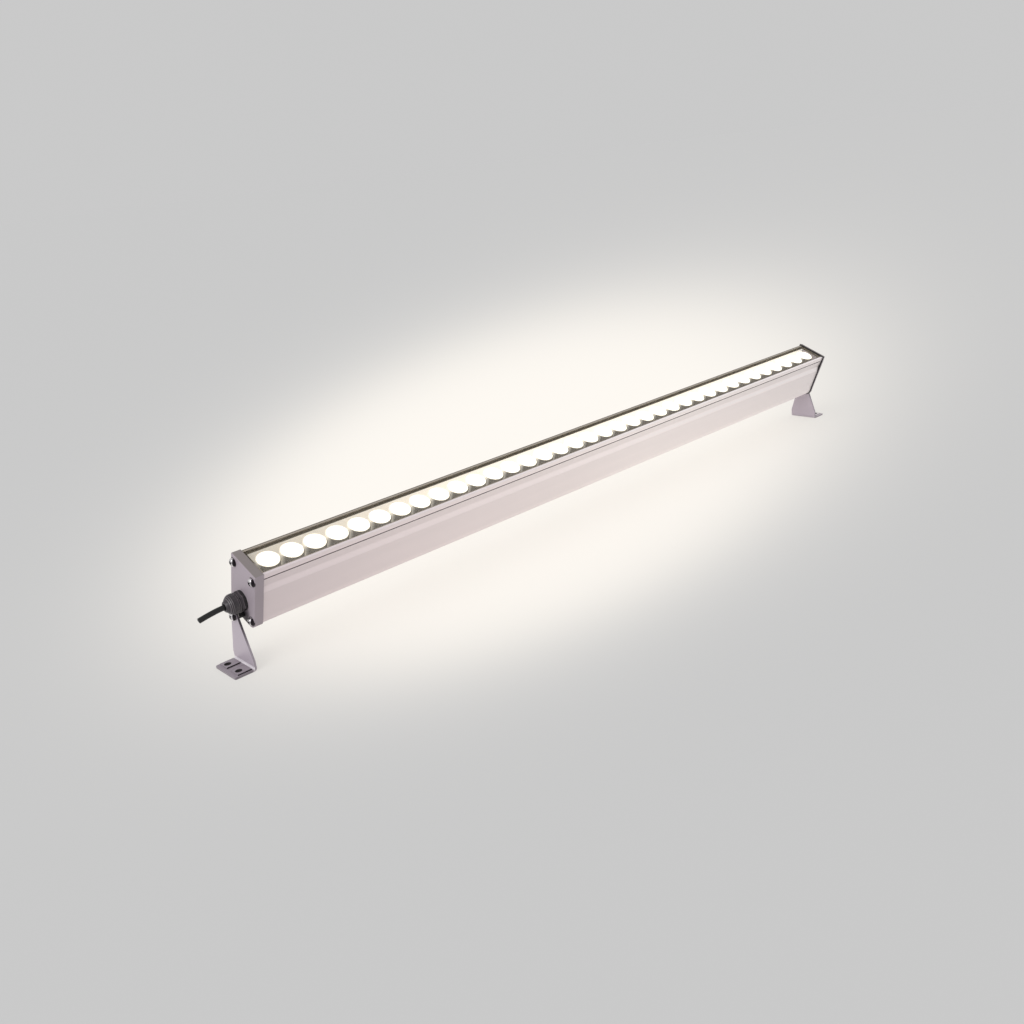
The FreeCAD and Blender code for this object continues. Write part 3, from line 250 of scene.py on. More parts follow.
def ramp(value, low, high):
    """0 below one number, 1 above another, and even between."""
    return ((value - low) / (high - low)).maths("MAXIMUM", 0.0).maths("MINIMUM", 1.0)


def close_to(value, middle, inner, outer):
    """1 up to one distance from a middle, 0 past another, and even between."""
    return 1.0 - ramp((value - middle).maths("ABSOLUTE"), inner, outer)


def band(value, middle, half, power):
    """1 at a middle and 0 past a half width. A high power keeps the band flat up to its edge."""
    return 1.0 - ((value - middle) / half).maths("ABSOLUTE").maths("MINIMUM", 1.0) ** power


def looking(start, way, low, high):
    """1 for a face that looks one way as the piece lies at rest, 0 for one that looks elsewhere."""
    outwards = start.node("ShaderNodeTexCoord", take=1)
    share = start.node("ShaderNodeVectorMath", {"operation": "DOT_PRODUCT"}, {0: outwards, 1: way},
                       take=1)
    return ramp(share, low, high)


def mixed(factor, first, second):
    """A colour between two others."""
    ends = [(*end, 1.0) if isinstance(end, tuple) else end for end in (first, second)]
    return factor.node("ShaderNodeMix", {"data_type": "RGBA"}, {0: factor, 6: ends[0], 7: ends[1]},
                       take=2)


def bumped(height, depth):
    """A normal that follows a height from 0 to 1, which stands for a depth in millimetres."""
    return height.node("ShaderNodeBump", None, {
        "Strength": 1.0, "Distance": depth * MM, "Height": height})


# %% [markdown]
# ## One way to close a finish
#
# Each finish is a material with one Principled shader. What changes over the surface goes to its colour,
# its roughness or its normal. What is the same all over is set on the shader's own socket.

# %% Start and close a finish
finishes = {}


def start_finish(name):
    material = bpy.data.materials.new(name)
    material.use_nodes = True
    material.node_tree.nodes.clear()
    finishes[name] = material
    print("finish:", name)
    return Socket(material.node_tree)


def close_finish(start, sockets):
    shader = start.node("ShaderNodeBsdfPrincipled", None, sockets)
    start.node("ShaderNodeOutputMaterial", None, {"Surface": shader})


def plain_finish(name, colour, roughness, metal=0.0, grain=(0.4, 0.4, 0.4), depth=0.01, mottle=0.06,
                 broad=(18, 18, 18)):
    """Cast, moulded or coated: a fine grain in the normal and roughness, a broad drift in the colour."""
    start = start_finish(name)
    fine = noise(start, grain)
    drift = noise(start, broad, detail=2.0)
    share = drift * 0.65 + fine * 0.35
    close_finish(start, {
        "Base Color": mixed(share, scaled(colour, 1 - mottle), scaled(colour, 1 + mottle)),
        "Roughness": roughness - 0.08 + fine * 0.16,
        "Metallic": metal,
        "Normal": bumped(fine, depth)})


# %% [markdown]
# ## The drawn aluminium
#
# The bar is pressed through a die and then anodised. The die leaves very fine lines along the bar, and
# the oxide layer turns the metal into a matte silver with a little warmth. So the grain is over 300 times
# as long as it is wide, and about a third of the finish is metal, the rest a pale body colour.
#
# The colour is also painted paler towards the far end, on the rim, along the waist and near the foot:
# painted light, for the extra light that these parts catch. Such painted light and shade are used on other
# pieces below too. They were chosen to match one photograph of the lamp, so they stay as they are when the
# light, the camera or a bracket moves.

# %% The outside of the bar
ANODISED_NEAR = rgb(215, 203, 206)
ANODISED_LIT_FAR = rgb(242, 234, 234)
BAR_SHADE_SPAN = (-500, 100)
RIM_STRIP_FROM = 55.0
RIM_STRIP_LIFT = 0.1
WAIST_FACET = 41.0
WAIST_FACET_HALF = 4.2
WAIST_FACET_LIFT = 0.16
BAR_FOOT = -4.0
FOOT_LIGHT_RISE = 9.0
FOOT_LIGHT_LIFT = 0.12

start = start_finish("drawn_aluminium")
lines = noise(start, (120, 0.35, 0.35))
drift = noise(start, (160, 12, 12), detail=2.0)
along, _, up = apart(start)
# Painted light: paler towards the far end, on the rim, along the waist and near the foot.
silver = mixed(ramp(along, *BAR_SHADE_SPAN), ANODISED_NEAR, ANODISED_LIT_FAR)
strip = up > RIM_STRIP_FROM
facet = band(up, WAIST_FACET, WAIST_FACET_HALF, 4)
foot_light = 1.0 - ramp(up, BAR_FOOT, BAR_FOOT + FOOT_LIGHT_RISE)
shade = (lines * 0.5 + drift * 0.5) * 0.1 + 0.95
shade = shade + facet * WAIST_FACET_LIFT + strip * RIM_STRIP_LIFT + foot_light * FOOT_LIGHT_LIFT
toned = silver.node("ShaderNodeVectorMath", {"operation": "SCALE"}, {0: silver, "Scale": shade})
close_finish(start, {
    "Base Color": toned,
    "Roughness": 0.4 + lines * 0.12,
    "Metallic": 0.35,
    "Normal": bumped(lines, 0.004)})

# %% [markdown]
# ## The trough and the groove
#
# The walls of the trough are painted pale and have a painted glow, more towards the far end: painted light,
# for the light of the lenses that falls on them in the lit lamp. The rims are painted dark, with one pale
# line along the back rim, and the thin groove along each side has a dark finish of its own: painted shade.
# All of it is matched to the photograph, and none of it comes from the lenses' light in the scene.

# %% The inside of the trough
TROUGH_DARK = rgb(96, 88, 76)
TROUGH_LIGHT = rgb(182, 173, 162)
TROUGH_WALL = rgb(210, 204, 194)
WALL_OUT = 17.0
WALL_GLOW = rgb(250, 249, 246)
WALL_GLOW_SPAN = (-500, -150)
WALL_GLOW_NEAR = 0.16
WALL_GLOW_GAIN = 0.3
LIT_LINE = 19.0
LIT_LINE_HALF = 1.25
GROOVE_SHADE = rgb(84, 76, 78)

start = start_finish("trough_aluminium")
lines = noise(start, (80, 0.5, 0.5))
along, across, _ = apart(start)
wall = across.maths("ABSOLUTE") < WALL_OUT
# Painted light: a glow on the trough walls, stronger towards the far end.
glow = wall * (ramp(along, *WALL_GLOW_SPAN) * WALL_GLOW_GAIN + WALL_GLOW_NEAR)
lit_line = band(across, LIT_LINE, LIT_LINE_HALF, 2)
rims = mixed(lit_line * 0.85 + lines * 0.15, TROUGH_DARK, TROUGH_LIGHT)
close_finish(start, {
    "Base Color": mixed(wall, rims, TROUGH_WALL),
    "Emission Color": mixed(glow, BLACK, WALL_GLOW),
    "Emission Strength": 1.0,
    "Roughness": 0.45 + lines * 0.15,
    "Metallic": 0.3,
    "Normal": bumped(lines, 0.006)})
# The groove's dark finish is painted shade.
plain_finish("groove_shade", GROOVE_SHADE, 0.6, metal=0.2, grain=(80, 0.3, 0.3), depth=0.005,
             mottle=0.15)

# %% [markdown]
# ## The paint of the caps
#
# The caps are cast and painted, a shade darker than the bar, with the soft orange peel of powder paint.
# Their tops and fronts are painted darker, as painted shade, and the near cap's end face paler, as painted
# light. A thin ring of painted shadow lies round each screw head, and a soft patch of painted shadow on the
# near cap beside its bracket's arm. These too are matched to the photograph, as formulas on the place.

# %% Where the cap screws sit
SCREW_SIDE = 17.6
SCREW_LOW = 1.8
SCREW_HIGH = 53.5
SCREW_CENTRE = (SCREW_HIGH + SCREW_LOW) / 2
SCREW_RISE = (SCREW_HIGH - SCREW_LOW) / 2
print("cap screws: %.1f mm apart across, %.1f mm up" % (2 * SCREW_SIDE, 2 * SCREW_RISE))

# %% Cap paint
CAP_PAINT = rgb(164, 153, 161)
CAP_TOP_SHADE = rgb(130, 122, 120)
CAP_SHADOW = rgb(36, 31, 36)
CAP_END_LIGHT = 1.12
CAP_END_SPAN = (10, 60)
CAP_SIDE_LIGHT = 0.86
SCREW_SHADOW = (4.9, 5.5)
END_FACES_FROM = 499.0
ARM_SHADOW_RISE = (3.0, 13.0)
ARM_SHADOW_MIDDLE = -6.5
ARM_SHADOW_WIDTH = (4, 9)
ARM_SHADOW_DEPTH = 0.85

start = start_finish("cap_paint")
skin = noise(start, (0.7, 0.7, 0.7))
drift = noise(start, (18, 18, 18), detail=2.0)
along, across, up = apart(start)
# Painted shadow: a ring round each screw head, and a patch beside the near bracket's arm.
beside = across.maths("ABSOLUTE") - SCREW_SIDE
above = (up - SCREW_CENTRE).maths("ABSOLUTE") - SCREW_RISE
from_screw = (beside ** 2 + above ** 2).maths("SQRT")
round_screws = (1.0 - ramp(from_screw, *SCREW_SHADOW)) * (along.maths("ABSOLUTE") > END_FACES_FROM)
by_arm = (1.0 - ramp(up, *ARM_SHADOW_RISE)) * close_to(across, ARM_SHADOW_MIDDLE, *ARM_SHADOW_WIDTH)
by_arm = by_arm * (along < -END_FACES_FROM) * ARM_SHADOW_DEPTH
# Painted light on the near end face, painted shade on the fronts and tops.
end_light = ramp(up, *CAP_END_SPAN) * looking(start, NEARWARDS, *SIDE_TURN) * 0.6
front_shade = looking(start, FRONTWARDS, *SIDE_TURN) * 0.6
top_shade = looking(start, LAMP_UP, *FLAT_TURN) * 0.9
paint = mixed(skin * 0.35 + drift * 0.65, scaled(CAP_PAINT, 0.95), scaled(CAP_PAINT, 1.05))
paint = mixed(end_light, paint, scaled(CAP_PAINT, CAP_END_LIGHT))
paint = mixed(front_shade, paint, scaled(CAP_PAINT, CAP_SIDE_LIGHT))
paint = mixed(top_shade, paint, CAP_TOP_SHADE)
close_finish(start, {
    "Base Color": mixed(round_screws.maths("MAXIMUM", by_arm), paint, CAP_SHADOW),
    "Roughness": 0.4 + skin * 0.16,
    "Metallic": 0.2,
    "Normal": bumped(skin, 0.025)})

# %% [markdown]
# ## The paint of the brackets
#
# The brackets are bent sheet with paler paint. Dark lines of painted shade outline the pressed pad at each
# hole of the near foot, and the paint is dark at every hole, as painted shadow. The near foot is painted
# darker as painted shade, most of all on its edges, with a painted highlight along its bend. The far foot
# is painted pale as painted light, and edges that look forward have painted shade. All of these shades are
# matched to the photograph.

# %% Where painted shade and light lie on the brackets
PAD_OUT = 519.75
PAD_HALF_OUT = 7.7
PAD_BESIDE = 11.8
PAD_HALF_BESIDE = 7.75
PAD_LINE = 0.45
HOLE_OUT = 522.55
HOLE_DARK = 3.8
FOOT_BELOW = -48.0
SKIRT_FROM = 512.0
BEND_FROM = 509.4
BEND_TO = 511.0
BEND_BELOW = -51.0
EDGE_FADE = (-30.0, -12.0)

# %% Bracket paint
BRACKET_PAINT = rgb(186, 176, 186)
BEND_LIGHT = rgb(232, 227, 232)
NEAR_FOOT_SHADE = rgb(146, 136, 144)
FAR_FOOT_LIGHT = rgb(226, 220, 220)
SKIRT_DARK = rgb(96, 89, 94)
EDGE_DARK = rgb(64, 57, 63)
PAD_SHADE_DARK = rgb(40, 35, 38)

start = start_finish("bracket_paint")
skin = noise(start, (0.6, 0.6, 0.6), leaning=False)
along, across, up = apart(start, leaning=False)
outwards = along.maths("ABSOLUTE")
beside = across.maths("ABSOLUTE")
low = up < FOOT_BELOW
near = along < 0.0
flat = looking(start, UPWARDS, *FLAT_TURN)
# Painted shade: lines along the near pads and a dark disc at each hole.
pad_end = (outwards - PAD_OUT).maths("ABSOLUTE") < PAD_HALF_OUT
pad_side = ((beside - PAD_BESIDE).maths("ABSOLUTE") - PAD_HALF_BESIDE).maths("ABSOLUTE") < PAD_LINE
in_hole = ((outwards - HOLE_OUT) ** 2 + (beside - PAD_BESIDE) ** 2) < HOLE_DARK ** 2
marks = (pad_side * pad_end * near).maths("MAXIMUM", in_hole) * low
# Painted shade on the near foot's edges and on forward edges, a painted highlight along the near bend.
skirt = low * (outwards > SKIRT_FROM) * (1.0 - flat) * near
bend = (outwards > BEND_FROM) * (outwards < BEND_TO) * (up < BEND_BELOW) * near
front_edge = looking(start, FRONTWARDS, *SIDE_TURN) * (ramp(up, *EDGE_FADE) * 0.6 + 0.35)
paint = mixed(skin, scaled(BRACKET_PAINT, 0.96), scaled(BRACKET_PAINT, 1.04))
# Painted shade on the near foot's top, painted light on the far foot's top.
paint = mixed(low * flat * (0.25 + near * 0.65), paint, NEAR_FOOT_SHADE)
paint = mixed(low * flat * (1.0 - near) * 0.9, paint, FAR_FOOT_LIGHT)
paint = mixed(bend * 0.8, paint, BEND_LIGHT)
paint = mixed(skirt * 0.6, paint, SKIRT_DARK)
paint = mixed(front_edge, paint, EDGE_DARK)
close_finish(start, {
    "Base Color": mixed(marks, paint, PAD_SHADE_DARK),
    "Roughness": 0.34 + skin * 0.16,
    "Metallic": 0.3,
    "Normal": bumped(skin, 0.015)})

# %% [markdown]
# ## Bare metal
#
# Screws and washers are bright steel, which mirrors what stands round it. This scene is pale nearly all
# round, so at the near end the steel that looks forward carries a painted dark reflection instead, to match
# the photograph.
# Zinc, blackened steel and the heat sink's aluminium are plain finishes.

# %% Steel, zinc and the heat sink
STEEL_LIGHT = rgb(244, 240, 242)
STEEL_DARK = rgb(46, 42, 46)
STEEL_TURN = (0.38, 0.62)

start = start_finish("bright_steel")
skin = noise(start, (0.5, 0.5, 0.5))
# A painted dark reflection on the near end's steel that looks forward.
dark_reflection = looking(start, FRONTWARDS, *STEEL_TURN) * (apart(start)[0] < 0.0)
close_finish(start, {
    "Base Color": mixed(dark_reflection, STEEL_LIGHT, STEEL_DARK),
    "Roughness": 0.14 + skin * 0.1,
    "Metallic": 1.0,
    "Normal": bumped(skin, 0.004)})

plain_finish("zinc_steel", rgb(205, 203, 200), 0.3, metal=1.0, grain=(0.3, 0.3, 0.3), depth=0.006,
             mottle=0.1, broad=(4, 4, 4))
plain_finish("blackened_steel", rgb(26, 25, 27), 0.45, metal=0.5, grain=(0.4, 0.4, 0.4), depth=0.01,
             mottle=0.2)
plain_finish("heat_sink_aluminium", rgb(190, 190, 194), 0.4, metal=0.9, grain=(0.3, 0.3, 8), depth=0.01)

# %% [markdown]
# ## The gland's plastic
#
# The gland is a hard grey plastic with a fine skin. Its steps and rings are only some tenths of a
# millimetre deep, so each gets a dark line of painted shade with a painted highlight just outside it, in
# the colour.

# %% Gland plastic with its rings
GLAND_GROOVES = [502.9, 506.4, 508.1, 513.4, 514.9, 516.3]
EDGE_AFTER = 0.55
RING_WIDTH = (0.12, 0.38)
RING_DARK = rgb(24, 21, 23)
RING_HIGHLIGHT = rgb(128, 120, 124)


def rings_at(out, places):
    """Thin lines round the gland at some places along it."""
    rings = [close_to(out, place, *RING_WIDTH) for place in places]
    found = rings[0]
    for ring in rings[1:]:
        found = found.maths("MAXIMUM", ring)
    return found


start = start_finish("gland_plastic")
skin = noise(start, (0.3, 0.3, 0.3))
out = apart(start)[0].maths("ABSOLUTE")
# Painted shade in each groove and a painted highlight just past it.
groove = rings_at(out, GLAND_GROOVES)
edge = rings_at(out, [place + EDGE_AFTER for place in GLAND_GROOVES])
moulded = mixed(skin, rgb(52, 47, 51), rgb(60, 55, 59))
edged = mixed(edge * 0.55, moulded, RING_HIGHLIGHT)
close_finish(start, {
    "Base Color": mixed(groove * 0.9, edged, RING_DARK),
    "Roughness": 0.26 + skin * 0.14,
    "Normal": bumped(skin, 0.012)})

# %% [markdown]
# ## Rubber, sealant and moulded pieces
#
# Moulded pieces differ in how wide and deep their grain is. Gaskets are matte, sleeves on leads are
# smooth. The sealant round the glass has a grain that is longer along the bar. Its front bead is painted
# pale at the near end and darker towards the far end, as painted light from the lenses, and its back bead
# dark, as painted shade, to match the photograph.

# %% Rubber and sealant
SEALANT_FRONT = rgb(168, 157, 142)
SEALANT_FAR = rgb(104, 96, 84)
SEALANT_BACK = rgb(92, 83, 68)
SEALANT_SPAN = (-150, 350)

plain_finish("black_rubber", rgb(24, 22, 23), 0.62, grain=(0.35, 0.35, 0.35), depth=0.02, mottle=0.2)
plain_finish("cable_jacket", rgb(16, 15, 16), 0.42, grain=(1.5, 0.5, 0.5), depth=0.03, mottle=0.25)

start = start_finish("edge_sealant")
skin = noise(start, (2.5, 0.6, 0.6))
along, across, _ = apart(start)
# Painted light on the front bead, fading towards the far end, and painted shade on the back bead.
front_bead = mixed(ramp(along, *SEALANT_SPAN), SEALANT_FRONT, SEALANT_FAR)
back_bead = mixed(skin, SEALANT_BACK, scaled(SEALANT_BACK, 1.3))
close_finish(start, {
    "Base Color": mixed(across > 0.0, front_bead, back_bead),
    "Roughness": 0.42 + skin * 0.16,
    "Normal": bumped(skin, 0.05)})

# %% Moulded and coated pieces
plain_finish("heat_tape", rgb(150, 160, 168), 0.7, grain=(0.2, 0.2, 0.2), depth=0.02)
plain_finish("pale_nylon", rgb(226, 222, 210), 0.45, grain=(0.4, 0.4, 0.4), depth=0.01)
plain_finish("link_plastic", rgb(236, 234, 226), 0.4, grain=(0.3, 0.3, 0.3), depth=0.008)
plain_finish("lead_insulation", rgb(120, 40, 34), 0.4, grain=(1.2, 0.3, 0.3), depth=0.012, mottle=0.12)
plain_finish("tray_plastic", rgb(60, 62, 66), 0.5, grain=(0.5, 0.5, 0.5), depth=0.02)
plain_finish("terminal_plastic", rgb(70, 128, 84), 0.42, grain=(0.4, 0.4, 0.4), depth=0.012)
plain_finish("fuse_body", rgb(218, 208, 186), 0.28, grain=(0.5, 0.5, 0.5), depth=0.004)
plain_finish("varistor_coat", rgb(34, 92, 138), 0.32, grain=(0.8, 0.8, 0.8), depth=0.03)
plain_finish("film_capacitor", rgb(206, 178, 60), 0.38, grain=(0.5, 0.5, 0.5), depth=0.01)
plain_finish("ferrite", rgb(62, 60, 62), 0.6, grain=(0.25, 0.25, 0.25), depth=0.03, mottle=0.15)
plain_finish("rectifier_epoxy", rgb(38, 38, 40), 0.55, grain=(0.2, 0.2, 0.2), depth=0.015)
plain_finish("capacitor_sleeve", rgb(36, 44, 74), 0.3, grain=(0.8, 0.8, 0.8), depth=0.008)

# %% [markdown]
# ## Stripes and layers
#
# The earth lead is green with yellow stripes, which a saw wave along the lead gives. The transformer is
# wound in layers of tape, and a ping-pong wave up its side gives their edges.

# %% Earth lead and winding tape
STRIPES_PER_MM = 0.35
LAYERS_PER_MM = 0.45

start = start_finish("earth_insulation")
stripe = (apart(start)[0] * STRIPES_PER_MM).maths("FRACT") > 0.5
skin = noise(start, (1.2, 0.3, 0.3))
close_finish(start, {
    "Base Color": mixed(stripe, rgb(62, 142, 66), rgb(222, 200, 52)),
    "Roughness": 0.34 + skin * 0.14,
    "Normal": bumped(skin, 0.012)})

start = start_finish("winding_tape")
layers = (apart(start)[2] * LAYERS_PER_MM).maths("PINGPONG", 0.5) * 2
skin = noise(start, (0.6, 0.6, 0.6))
close_finish(start, {
    "Base Color": mixed(skin, rgb(208, 176, 70), rgb(232, 204, 104)),
    "Roughness": 0.34 + skin * 0.1,
    "Normal": bumped(layers * 0.7 + skin * 0.3, 0.12)})

# %% [markdown]
# ## The bed round the lenses
#
# Boards and lens holders lie deep in the trough, and they share two colours. In front the bed is painted
# dark, as painted shade, so the gaps between the lenses are dark there. Behind, it is painted pale and has
# a painted glow, more towards the far end: painted light. Both are matched to the photograph and don't
# follow the lenses' light.

# %% Colours of the bed
BED_DARK = rgb(50, 38, 22)
BED_LIGHT = rgb(226, 218, 202)
BED_SHADE_SPAN = (-6.5, -0.5)
BED_GLOW = rgb(250, 247, 240)
BED_GLOW_SPAN = (-520, -60)
BED_GLOW_NEAR = 0.12
BED_GLOW_GAIN = 0.42


def bed_colours(start):
    """The base colour, with its painted shade, and the painted glow of what lies round the lenses."""
    along, across, _ = apart(start)
    # Painted shade in front, painted glow behind.
    behind = ramp(across, *BED_SHADE_SPAN)
    glow = behind * (ramp(along, *BED_GLOW_SPAN) * BED_GLOW_GAIN + BED_GLOW_NEAR)
    return mixed(behind, BED_DARK, BED_LIGHT), mixed(glow, BLACK, BED_GLOW)


start = start_finish("holder_plastic")
base, glow = bed_colours(start)
skin = noise(start, (0.3, 0.3, 0.3))
close_finish(start, {
    "Base Color": base,
    "Roughness": 0.42 + skin * 0.16,
    "Emission Color": glow,
    "Emission Strength": 1.0,
    "Specular IOR Level": 0.1,
    "Normal": bumped(skin, 0.01)})

# %% [markdown]
# ## Circuit boards
#
# A lamp board is metal under white solder mask. Broad copper fields lie under the mask and show as very
# low steps, one field for each light, with thin gaps between. The driver board is green laminate with a
# weave of glass threads and rows of small pads.

# %% Lamp board
LENS_PITCH = 27.1306
LENS_COUNT = 36
ROW_START = -485.5
FIELD_HALF = 0.485
RAIL_FROM = 12.6
MASK_EDGE = rgb(168, 158, 138)

start = start_finish("lamp_board")
base, glow = bed_colours(start)
along, across, _ = apart(start)
field = ((along - ROW_START) / LENS_PITCH).maths("FRACT")
gap = (field - 0.5).maths("ABSOLUTE") > FIELD_HALF
rail = across.maths("ABSOLUTE") > RAIL_FROM
traces = gap.maths("MAXIMUM", rail)
skin = noise(start, (0.5, 0.5, 0.5))
close_finish(start, {
    "Base Color": mixed(traces * 0.15, base, MASK_EDGE),
    "Specular IOR Level": 0.1,
    "Roughness": 0.36 + skin * 0.1,
    "Emission Color": glow,
    "Emission Strength": 1.0,
    "Normal": bumped(traces * 0.8 + skin * 0.1, 0.05)})

# %% Driver laminate
PAD_PITCH = (2.54, 2.54, 2.54)
PAD_SIZE = 0.05

start = start_finish("driver_laminate")
along, across, _ = apart(start, PAD_PITCH)
dots = [(value.maths("FRACT") - 0.5) ** 2 for value in (along, across)]
pads = (dots[0] + dots[1]) < PAD_SIZE
weave = noise(start, (0.4, 1.6, 0.4))
close_finish(start, {
    "Base Color": mixed(pads, rgb(40, 96, 62), rgb(196, 172, 110)),
    "Metallic": pads * 0.8,
    "Roughness": 0.3 + weave * 0.15,
    "Normal": bumped(pads * 0.6 + weave * 0.2, 0.05)})

# %% [markdown]
# ## Light, lens and glass
#
# Each light is a small chip under a clear lens that throws its light forward. Lit, the whole face of the
# lens is brighter than a screen can show, and only its rim falls off. The falloff is a formula on the
# distance from the middle of each lens. Below its face the cone of a lens is painted like the bed round
# it, dark in front and pale behind, and glows in those colours: painted shade in front and painted light
# behind. The cover glass is clear, so it lets rays through by its alpha and shows a little more where it
# is seen at a low angle.

# %% Lens and chip
LENS_RADIUS = 11.75
LENS_LIT_FROM = 58.0
LENS_RINGS = 7
LIGHT = rgb(255, 252, 240)
LENS_RIM = rgb(214, 205, 184)
LENS_FLANK_FRONT = rgb(44, 34, 18)
LENS_FLANK_BACK = rgb(190, 182, 160)
LENS_FLANK_SPAN = (-9.5, -4.0)

start = start_finish("clear_lens")
along, across, up = apart(start)
beside = (((along - ROW_START) / LENS_PITCH).maths("FRACT") - 0.5) * LENS_PITCH
reach = (beside ** 2 + across ** 2).maths("SQRT") / LENS_RADIUS
rings = (reach * LENS_RINGS).maths("PINGPONG", 0.5) * 2
face = up > LENS_LIT_FROM
lit = mixed(reach ** 6, LIGHT, LENS_RIM)
# Painted shade on the front of each lens cone, painted light behind.
flank = mixed(ramp(across, *LENS_FLANK_SPAN), LENS_FLANK_FRONT, LENS_FLANK_BACK)
close_finish(start, {
    "Base Color": mixed(face, rgb(44, 38, 28), rgb(232, 228, 216)),
    "Roughness": 0.12 + rings * 0.08,
    "Emission Color": mixed(face, flank, lit),
    "Emission Strength": 1.25,
    "Specular IOR Level": 0.2,
    "Normal": bumped(rings, 0.05)})

start = start_finish("lamp_chip")
cell = noise(start, (0.15, 0.15, 0.15))
close_finish(start, {
    "Base Color": mixed(cell, rgb(238, 214, 96), rgb(246, 228, 130)),
    "Roughness": 0.3 + cell * 0.2,
    "Emission Color": mixed(cell, LIGHT, rgb(255, 240, 190)),
    "Emission Strength": 1.5,
    "Normal": bumped(cell, 0.01)})

# %% Cover glass
GLASS_IOR = 1.5
GLASS_TINT = (0.9, 0.84, 0.74, 1.0)

start = start_finish("cover_glass")
edge = start.node("ShaderNodeFresnel", None, {"IOR": GLASS_IOR})
dust = noise(start, (6, 6, 6))
close_finish(start, {
    "Base Color": GLASS_TINT,
    "Roughness": 0.04 + dust * 0.04,
    "Alpha": 0.01 + edge * 0.15 + dust * 0.01,
    "Normal": bumped(dust, 0.002)})
print("all finishes:", len(finishes))

# %% [markdown]
# ## Rounded edges on CAD pieces
#
# CAD edges are perfectly sharp, and a sharp edge never catches the light. A cast cap, a bent sheet or a
# turned nut has a small round edge that does. So these pieces are merged copies of their CAD nodes with a
# bevel of 0.15 to 0.3 mm on each hard edge, and their normals are weighted by area to keep the flat faces
# flat.

# %% Settle a mesh
HARD_ANGLE = math.radians(34)


def built(name, builder):
    """A mesh from what a builder holds. The builder is done after that."""
    mesh = bpy.data.meshes.new(name)
    builder.to_mesh(mesh)
    builder.free()
    return mesh


def applied(piece):
    """The mesh of a piece with its modifiers worked in."""
    graph = bpy.context.evaluated_depsgraph_get()
    return bpy.data.meshes.new_from_object(piece.evaluated_get(graph), depsgraph=graph)


def settled(piece):
    """Smooth shading that breaks at hard edges, with normals weighted by face area."""
    piece.data.shade_smooth()
    piece.data.set_sharp_from_angle(angle=HARD_ANGLE)
    weighted = piece.modifiers.new("weighted", "WEIGHTED_NORMAL")
    weighted.keep_sharp = True
    mesh = applied(piece)
    mesh.name = piece.name
    piece.modifiers.clear()
    piece.data = mesh
    return piece


# %% Soften a node and dress a piece
FLAT_ANGLE = math.radians(0.6)
MERGE_WITHIN = 0.002 * MM


def softened(name, node, finish, edge=0.25, steps=2):
    """A merged copy of a CAD node with a narrow bevel on every hard edge."""
    builder = bmesh.new()
    builder.from_mesh(nodes[node].data)
    bmesh.ops.remove_doubles(builder, verts=builder.verts, dist=MERGE_WITHIN)
    bmesh.ops.dissolve_limit(builder, angle_limit=FLAT_ANGLE, verts=builder.verts, edges=builder.edges)
    hard = [side for side in builder.edges
            if len(side.link_faces) == 2 and side.calc_face_angle() > HARD_ANGLE]
    bmesh.ops.bevel(builder, geom=hard, offset=edge * MM, offset_type="OFFSET", segments=steps,
                    profile=0.5, affect="EDGES", clamp_overlap=True)
    bmesh.ops.recalc_face_normals(builder, faces=builder.faces)
    mesh = built(name, builder)
    mesh.materials.append(finishes[finish])
    return settled(add_object(name, mesh))


def dressed(piece, body, slot, *replaced):
    """Say what a finished piece moves with and which nodes it stands for. The finish that it names is not
    used.
    """
    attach(piece, body)
    if replaced:
        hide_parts(*replaced)
    print(piece.name, "moves with", body)
    return piece


# %% [markdown]
# ## Forms that repeat
#
# A Geometry Nodes tree takes one shape and sets it out as often as needed. Each tree below has named
# inputs for its sizes, ends with real copies and a material, and runs once: its result becomes a plain
# mesh in the lamp's frame, which is then turned into the floor's.

# %% Build and run a tree


def geometry_tree(name, inputs):
    """An empty tree with named inputs, and a socket for each of them."""
    tree = bpy.data.node_groups.new(name, "GeometryNodeTree")
    tree.interface.new_socket("Geometry", in_out="INPUT", socket_type="NodeSocketGeometry")
    for label, kind in inputs.items():
        tree.interface.new_socket(label, in_out="INPUT", socket_type="NodeSocket" + kind)
    tree.interface.new_socket("Geometry", in_out="OUTPUT", socket_type="NodeSocketGeometry")
    entry = tree.nodes.new("NodeGroupInput")
    return {output.name: Socket(tree, output) for output in entry.outputs if output.name}


def close_tree(geometry, finish):
    """End a tree with real geometry and one material."""
    real = geometry.node("GeometryNodeRealizeInstances", None, {0: geometry})
    coloured = real.node("GeometryNodeSetMaterial", None, {0: real, "Material": finish})
    coloured.node("NodeGroupOutput", None, {0: coloured})


def run_tree(name, mesh, given, values, to_floor=LAMP_TO_FLOOR):
    """Run a tree on a mesh and keep the result as a plain mesh at the origin."""
    tree = given["Geometry"].tree
    worker = add_object(name, mesh)
    modifier = worker.modifiers.new("set out", "NODES")
    modifier.node_group = tree
    for item in tree.interface.items_tree:
        if item.in_out == "INPUT" and item.name in values:
            modifier[item.identifier] = values[item.name]
    result = applied(worker)
    result.name = name
    worker.modifiers.clear()
    worker.data = result
    result.transform(to_floor)
    print(name, "faces:", len(result.polygons))
    return worker


# %% [markdown]
# ## The bar
#
# The bar is one section pushed along X: a trough for the lights over a closed chamber for the driver. A
# real die has no sharp corners, so each point of the section keeps its own corner radius as an attribute.
# The tree rounds the corners, fills the section around its holes, and pushes it to the bar's length. Then
# it picks the faces of the trough and of the groove by their places, within a hair, for their finishes.

